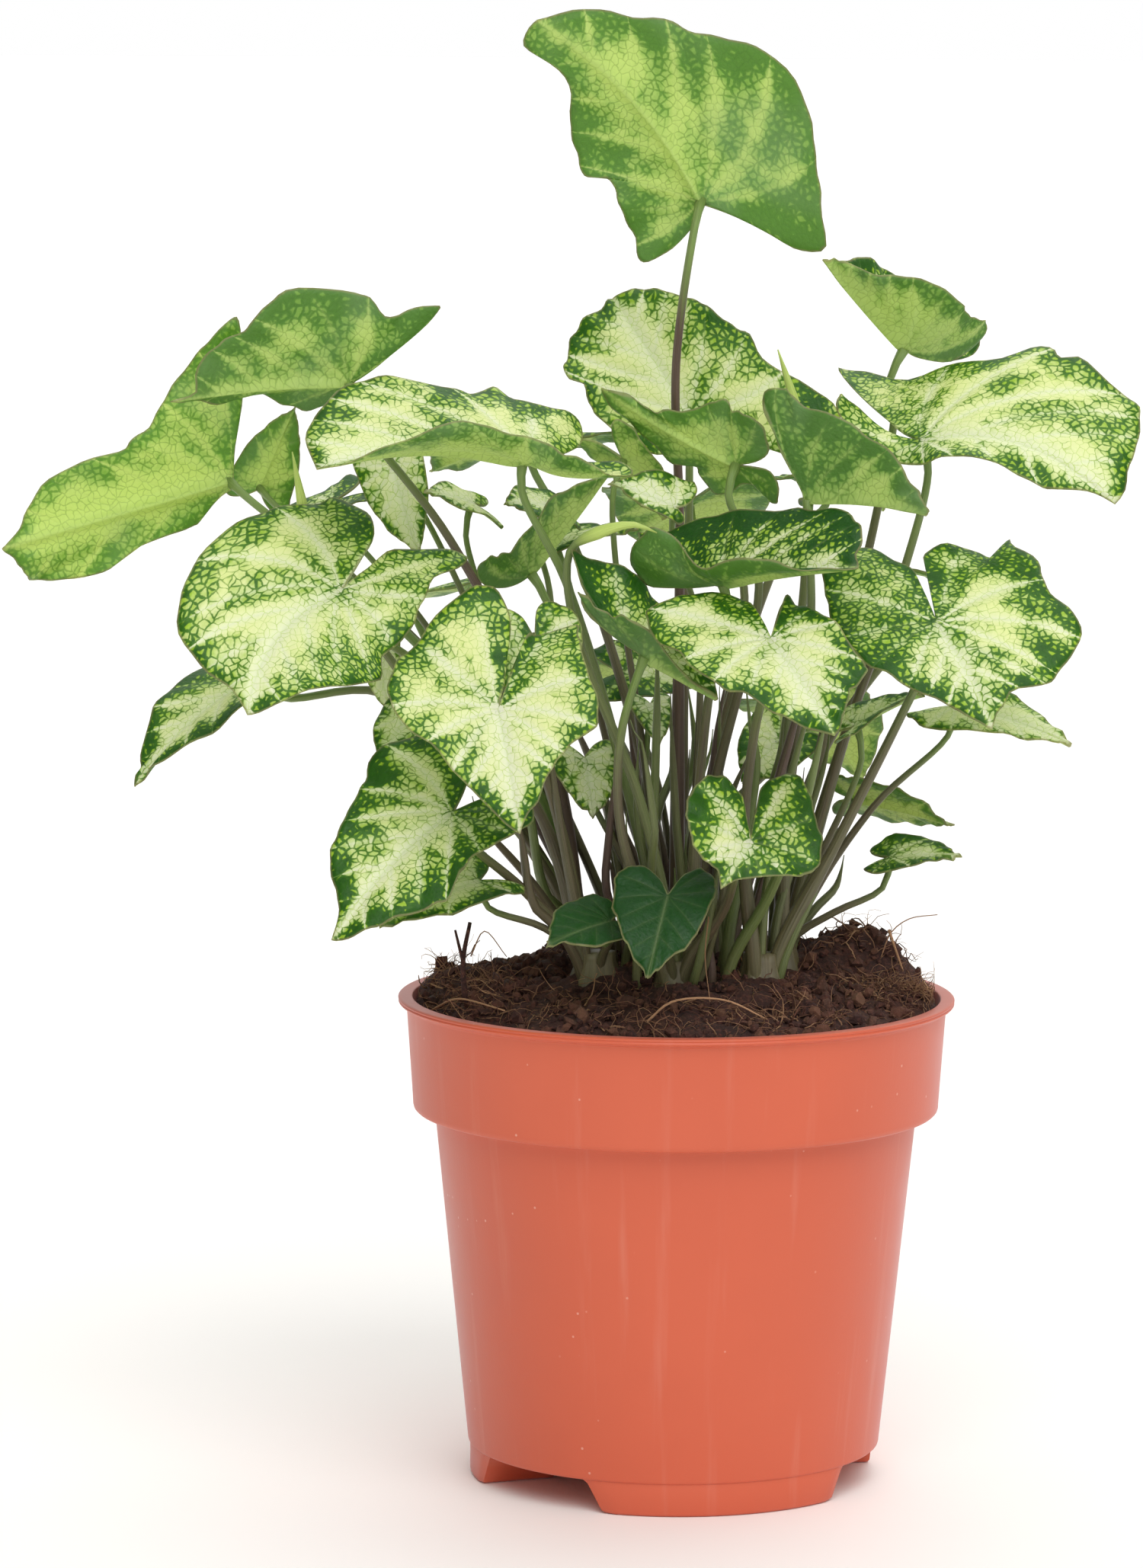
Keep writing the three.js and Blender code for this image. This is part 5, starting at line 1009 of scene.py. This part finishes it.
# Single sticks and roots: thickness, colour from dark to pale, and the places that they pass.
STICKS = (
    (0.7, 0.0, ((-44.7, -22, 106), (-45.2, -22, 115), (-43.8, -21, 123))),
    (0.45, 0.0, ((-45.1, -22, 114), (-46.9, -22.5, 121.5))),
    (0.3, 0.95, ((-6, -46, 106), (-1, -45, 110), (10, -45, 110.5), (19, -45, 106.5))),
    (0.35, 0.8, ((45.6, 0, 119), (48.8, 0, 110))),
    (0.16, 0.6, ((44, 0, 113), (46.2, 0, 118.5), (50, -0.5, 121.5), (56, -1, 122.5))),
    (0.14, 0.7, ((6.7, -31, 126), (6, -33, 118), (7.1, -38, 109))),
    (0.16, 0.7, ((-44, -10, 114), (-41.1, -10, 119.5), (-36.3, -10, 114))),
    (0.3, 0.9, ((-52, -14, 103), (-46, -24, 107), (-36, -33, 106))),
)
WALL = inside(100)


def soil_top(x, y):
    """The mound as in the part's source, with the heaps on it."""
    share = np.minimum(np.hypot(x, y) / POT.collar_top, 1)
    dome = (SOIL.crown_z - SOIL.edge_z) * (1 - share ** 2.5)
    lumps = np.sin(0.21 * x + 1.1) * np.cos(0.17 * y - 0.4) + 0.7 * np.sin(0.13 * x - 0.26 * y)
    rear = SOIL.rise * smoothstep(y, -10, 40) * (1 - share ** 4)
    high = SOIL.edge_z + dome + rear + SOIL.lump * lumps * (1 - share ** 6)
    return high + sum(height * np.exp(-((x - cx) ** 2 + (y - cy) ** 2) / spread ** 2)
                      for (cx, cy), spread, height in HEAPS)


def make_soil(material):
    """The mound down to the pot's floor, with a crumbly top."""
    gap, floor, shelf = SOIL.gap, FEET.height + POT.wall + SOIL.gap, POT.collar_z + POT.wall
    rim = inside(SOIL.edge_z) - gap
    points, faces = lathe([
        (0, floor), (inside(floor) - gap, floor), (inside(shelf) - gap, shelf + gap),
        (POT.collar_bottom - POT.wall - gap, shelf + gap), (rim, SOIL.edge_z - SOIL.skirt),
        *((rim * (1 - ring / SOIL.rings), 0) for ring in range(SOIL.rings)), (0, 0)], SOIL.sides)
    points = np.array(points, float)
    top = points[:, 2] == 0
    x, y = points[top, :2].T
    lift = sum(high * np.array([noise.fractal(Vector(((a + shift) / size, b / size, 0.3)), *FRACTAL)
                                for a, b in zip(x, y)]) for shift, size, high in SWELLS)
    points[top, 2] = soil_top(x, y) + lift * np.clip(FADE[0] * (1 - np.hypot(x, y) / rim) + FADE[1], 0, 1)
    shape = Gather()
    shape.add(points, faces, earth=(0, 0, 0))
    shape.piece("soil_mound", material, "soil", ("soil",))


def scatter_place(rng):
    """A place on the soil, off the stems."""
    while True:
        radius, turn = WALL * CRUMBS.reach * math.sqrt(rng.random()), rng.random() * ROUND
        x, y = radius * math.cos(turn), radius * math.sin(turn)
        if all(math.dist((x, y), stem.at) > stem.radius + CRUMBS.clear for stem in STEMS.values()):
            return x, y


def make_crumbs(material):
    """Loose crumbs and bark bits on the soil, each a dented and squeezed ball of twenty faces."""
    gold, rng, shape = (1 + 5 ** 0.5) / 2, np.random.default_rng(4), Gather()
    ball = unit([np.roll((one, other, 0), axis)
                 for axis in range(3) for other in (gold, -gold) for one in (-1, 1)])
    side = math.dist(ball[0], ball[1]) * 1.1
    faces = [three if np.linalg.det(ball[list(three)]) > 0 else three[::-1]
             for three in combinations(range(len(ball)), 3)
             if all(math.dist(ball[a], ball[b]) < side for a, b in combinations(three, 2))]
    for _ in range(CRUMBS.count):
        x, y = scatter_place(rng)
        size = rng.choice(CRUMBS.sizes, p=CRUMBS.shares)
        crumb = ball * rng.uniform(*CRUMBS.dents, (len(ball), 1)) * rng.uniform(*CRUMBS.squeeze, 3) * size
        spin = np.array(Matrix.Rotation(rng.random() * 6.28, 3, Vector(rng.normal(size=3)).normalized()))
        at = (x, y, float(soil_top(x, y)) + size * rng.uniform(*CRUMBS.lift))
        shade, pale = rng.choice(CRUMBS.shades), rng.random() * CRUMBS.pale
        shape.add(crumb @ spin.T + at, faces, earth=(shade, pale, 0))
    shape.piece("soil_crumbs", material, "soil", smooth=False)


def make_fibres(material):
    """Coir fibres in and over the soil, and a few sticks and roots."""
    rng, shape = np.random.default_rng(11), Gather()

    def add(line, thick, thin, sides, dark, pale):
        points, faces, _, _ = tube(line, np.linspace(thick, thick * thin, len(line)), sides)
        shape.add(points, faces, earth=(dark, pale, 0))

    for centre, spread, count in CLUMPS:
        for _ in range(count):
            x, y = (middle + rng.normal() * spread * FIBRES.spread for middle in centre)
            if math.hypot(x, y) > WALL - 2:
                continue
            at = np.array([x, y, float(soil_top(x, y)) + rng.uniform(*FIBRES.lift)])
            turn = rng.random() * ROUND
            way = np.array([math.cos(turn), math.sin(turn), rng.uniform(*FIBRES.rise)])
            line, reach = [at], rng.uniform(*FIBRES.length)
            for _ in range(FIBRES.steps):
                way = unit(way + rng.normal(size=3) * FIBRES.bend - (0, 0, FIBRES.fall))
                at = at + way * reach / FIBRES.steps
                out = math.hypot(*at[:2]) - WALL + 1
                if out > 0:
                    at[:2] *= 1 - out / math.hypot(*at[:2])
                line.append(at)
            add(line, rng.choice(FIBRES.sizes, p=FIBRES.shares), FIBRES.thin, 3, 1, rng.random())
    for thick, pale, route in STICKS:
        add(curve_through(route, 1.5), thick, 0.6, 6, min(1, 2 * pale), pale)
    shape.piece("coir_fibres", material, "soil")


# ---------------------------------------------------------------- assembly

leaf_look, stalk_look, soil_look = leaf_material(), stalk_material(), soil_material()
for number, leaf in enumerate(LEAF_ROWS, 1):
    complete_leaf(leaf, number)
    make_blade(leaf, leaf_look)
skin = np.vstack([leaf.skin for leaf in LEAF_ROWS])
blades = KDTree(len(skin))
for index, point in enumerate(skin):
    blades.insert(point, index)
blades.balance()
for name in STEMS:
    make_stem(name, LEAF_ROWS, blades, stalk_look)
make_pot(pot_material())
make_soil(soil_look)
make_crumbs(soil_look)
make_fibres(soil_look)

# ---------------------------------------------------------------- floor, light and camera

FLOOR_REACH = 60000
# The studio's greys from the left to the right.
SHADES = ((0.0, 105), (0.15, 135), (0.4, 255), (0.6, 255), (0.85, 190), (1.0, 165))

corners = [(x * FLOOR_REACH, y * FLOOR_REACH, 0) for x, y in ((-1, -1), (1, -1), (1, 1), (-1, 1))]
floor = loose("floor", corners, [range(4)])
pale = Graph(bpy.data.materials.new("floor"))
floor.data.materials.append(pale.finish(rgb(250, 248, 244), Roughness=0.7))

scene = bpy.context.scene
scene.world = bpy.data.worlds.new("studio")
studio = Graph(scene.world)
across = studio.split(studio.node("ShaderNodeTexCoord", "Generated", {}))[0]
across = studio.node("ShaderNodeMapRange", "Result", {"Value": across, "From Min": -1.0})
shade = studio.node("ShaderNodeValToRGB", 0, {0: across})
ramp = shade.socket.node.color_ramp
for share, _ in SHADES[1:-1]:
    ramp.elements.new(share)
for element, (share, grey) in zip(ramp.elements, SHADES):
    element.position, element.color = share, rgb(grey, grey, grey)
sky = studio.node("ShaderNodeBackground", 0, {0: shade, 1: 1.0})
studio.connect("ShaderNodeOutputWorld", {"Surface": sky})
scene.view_settings.view_transform = "Standard"


def sun(name, azimuth, height, spread, strength):
    """A wide soft light from an azimuth and a height above the floor, all in degrees."""
    light = bpy.data.lights.new(name, "SUN")
    light.angle, light.energy = math.radians(spread), strength
    thing = bpy.data.objects.new(name, light)
    thing.rotation_euler = (math.radians(90 - height), 0, math.radians(azimuth))
    scene.collection.objects.link(thing)


sun("key", 18, 48, 50, 1.3)
sun("back", 165, 60, 60, 0.7)

yaw, pitch, roll = map(math.radians, (CAMERA.turned_left, CAMERA.tilted_down, CAMERA.rolled))
ahead = Vector((-math.sin(yaw) * math.cos(pitch), math.cos(yaw) * math.cos(pitch), -math.sin(pitch)))
right = Vector((math.cos(yaw), math.sin(yaw), 0))
above = right.cross(ahead)
rolled = (right * math.cos(roll) + above * math.sin(roll), above * math.cos(roll) - right * math.sin(roll))
camera = bpy.data.objects.new("camera", bpy.data.cameras.new("camera"))
camera.data.lens, camera.data.sensor_width = CAMERA.lens, CAMERA.film
turn = Matrix((*rolled, -ahead)).transposed().to_4x4()
camera.matrix_world = Matrix.Translation(Vector(place(CAMERA.place))) @ turn
scene.collection.objects.link(camera)
scene.camera = camera
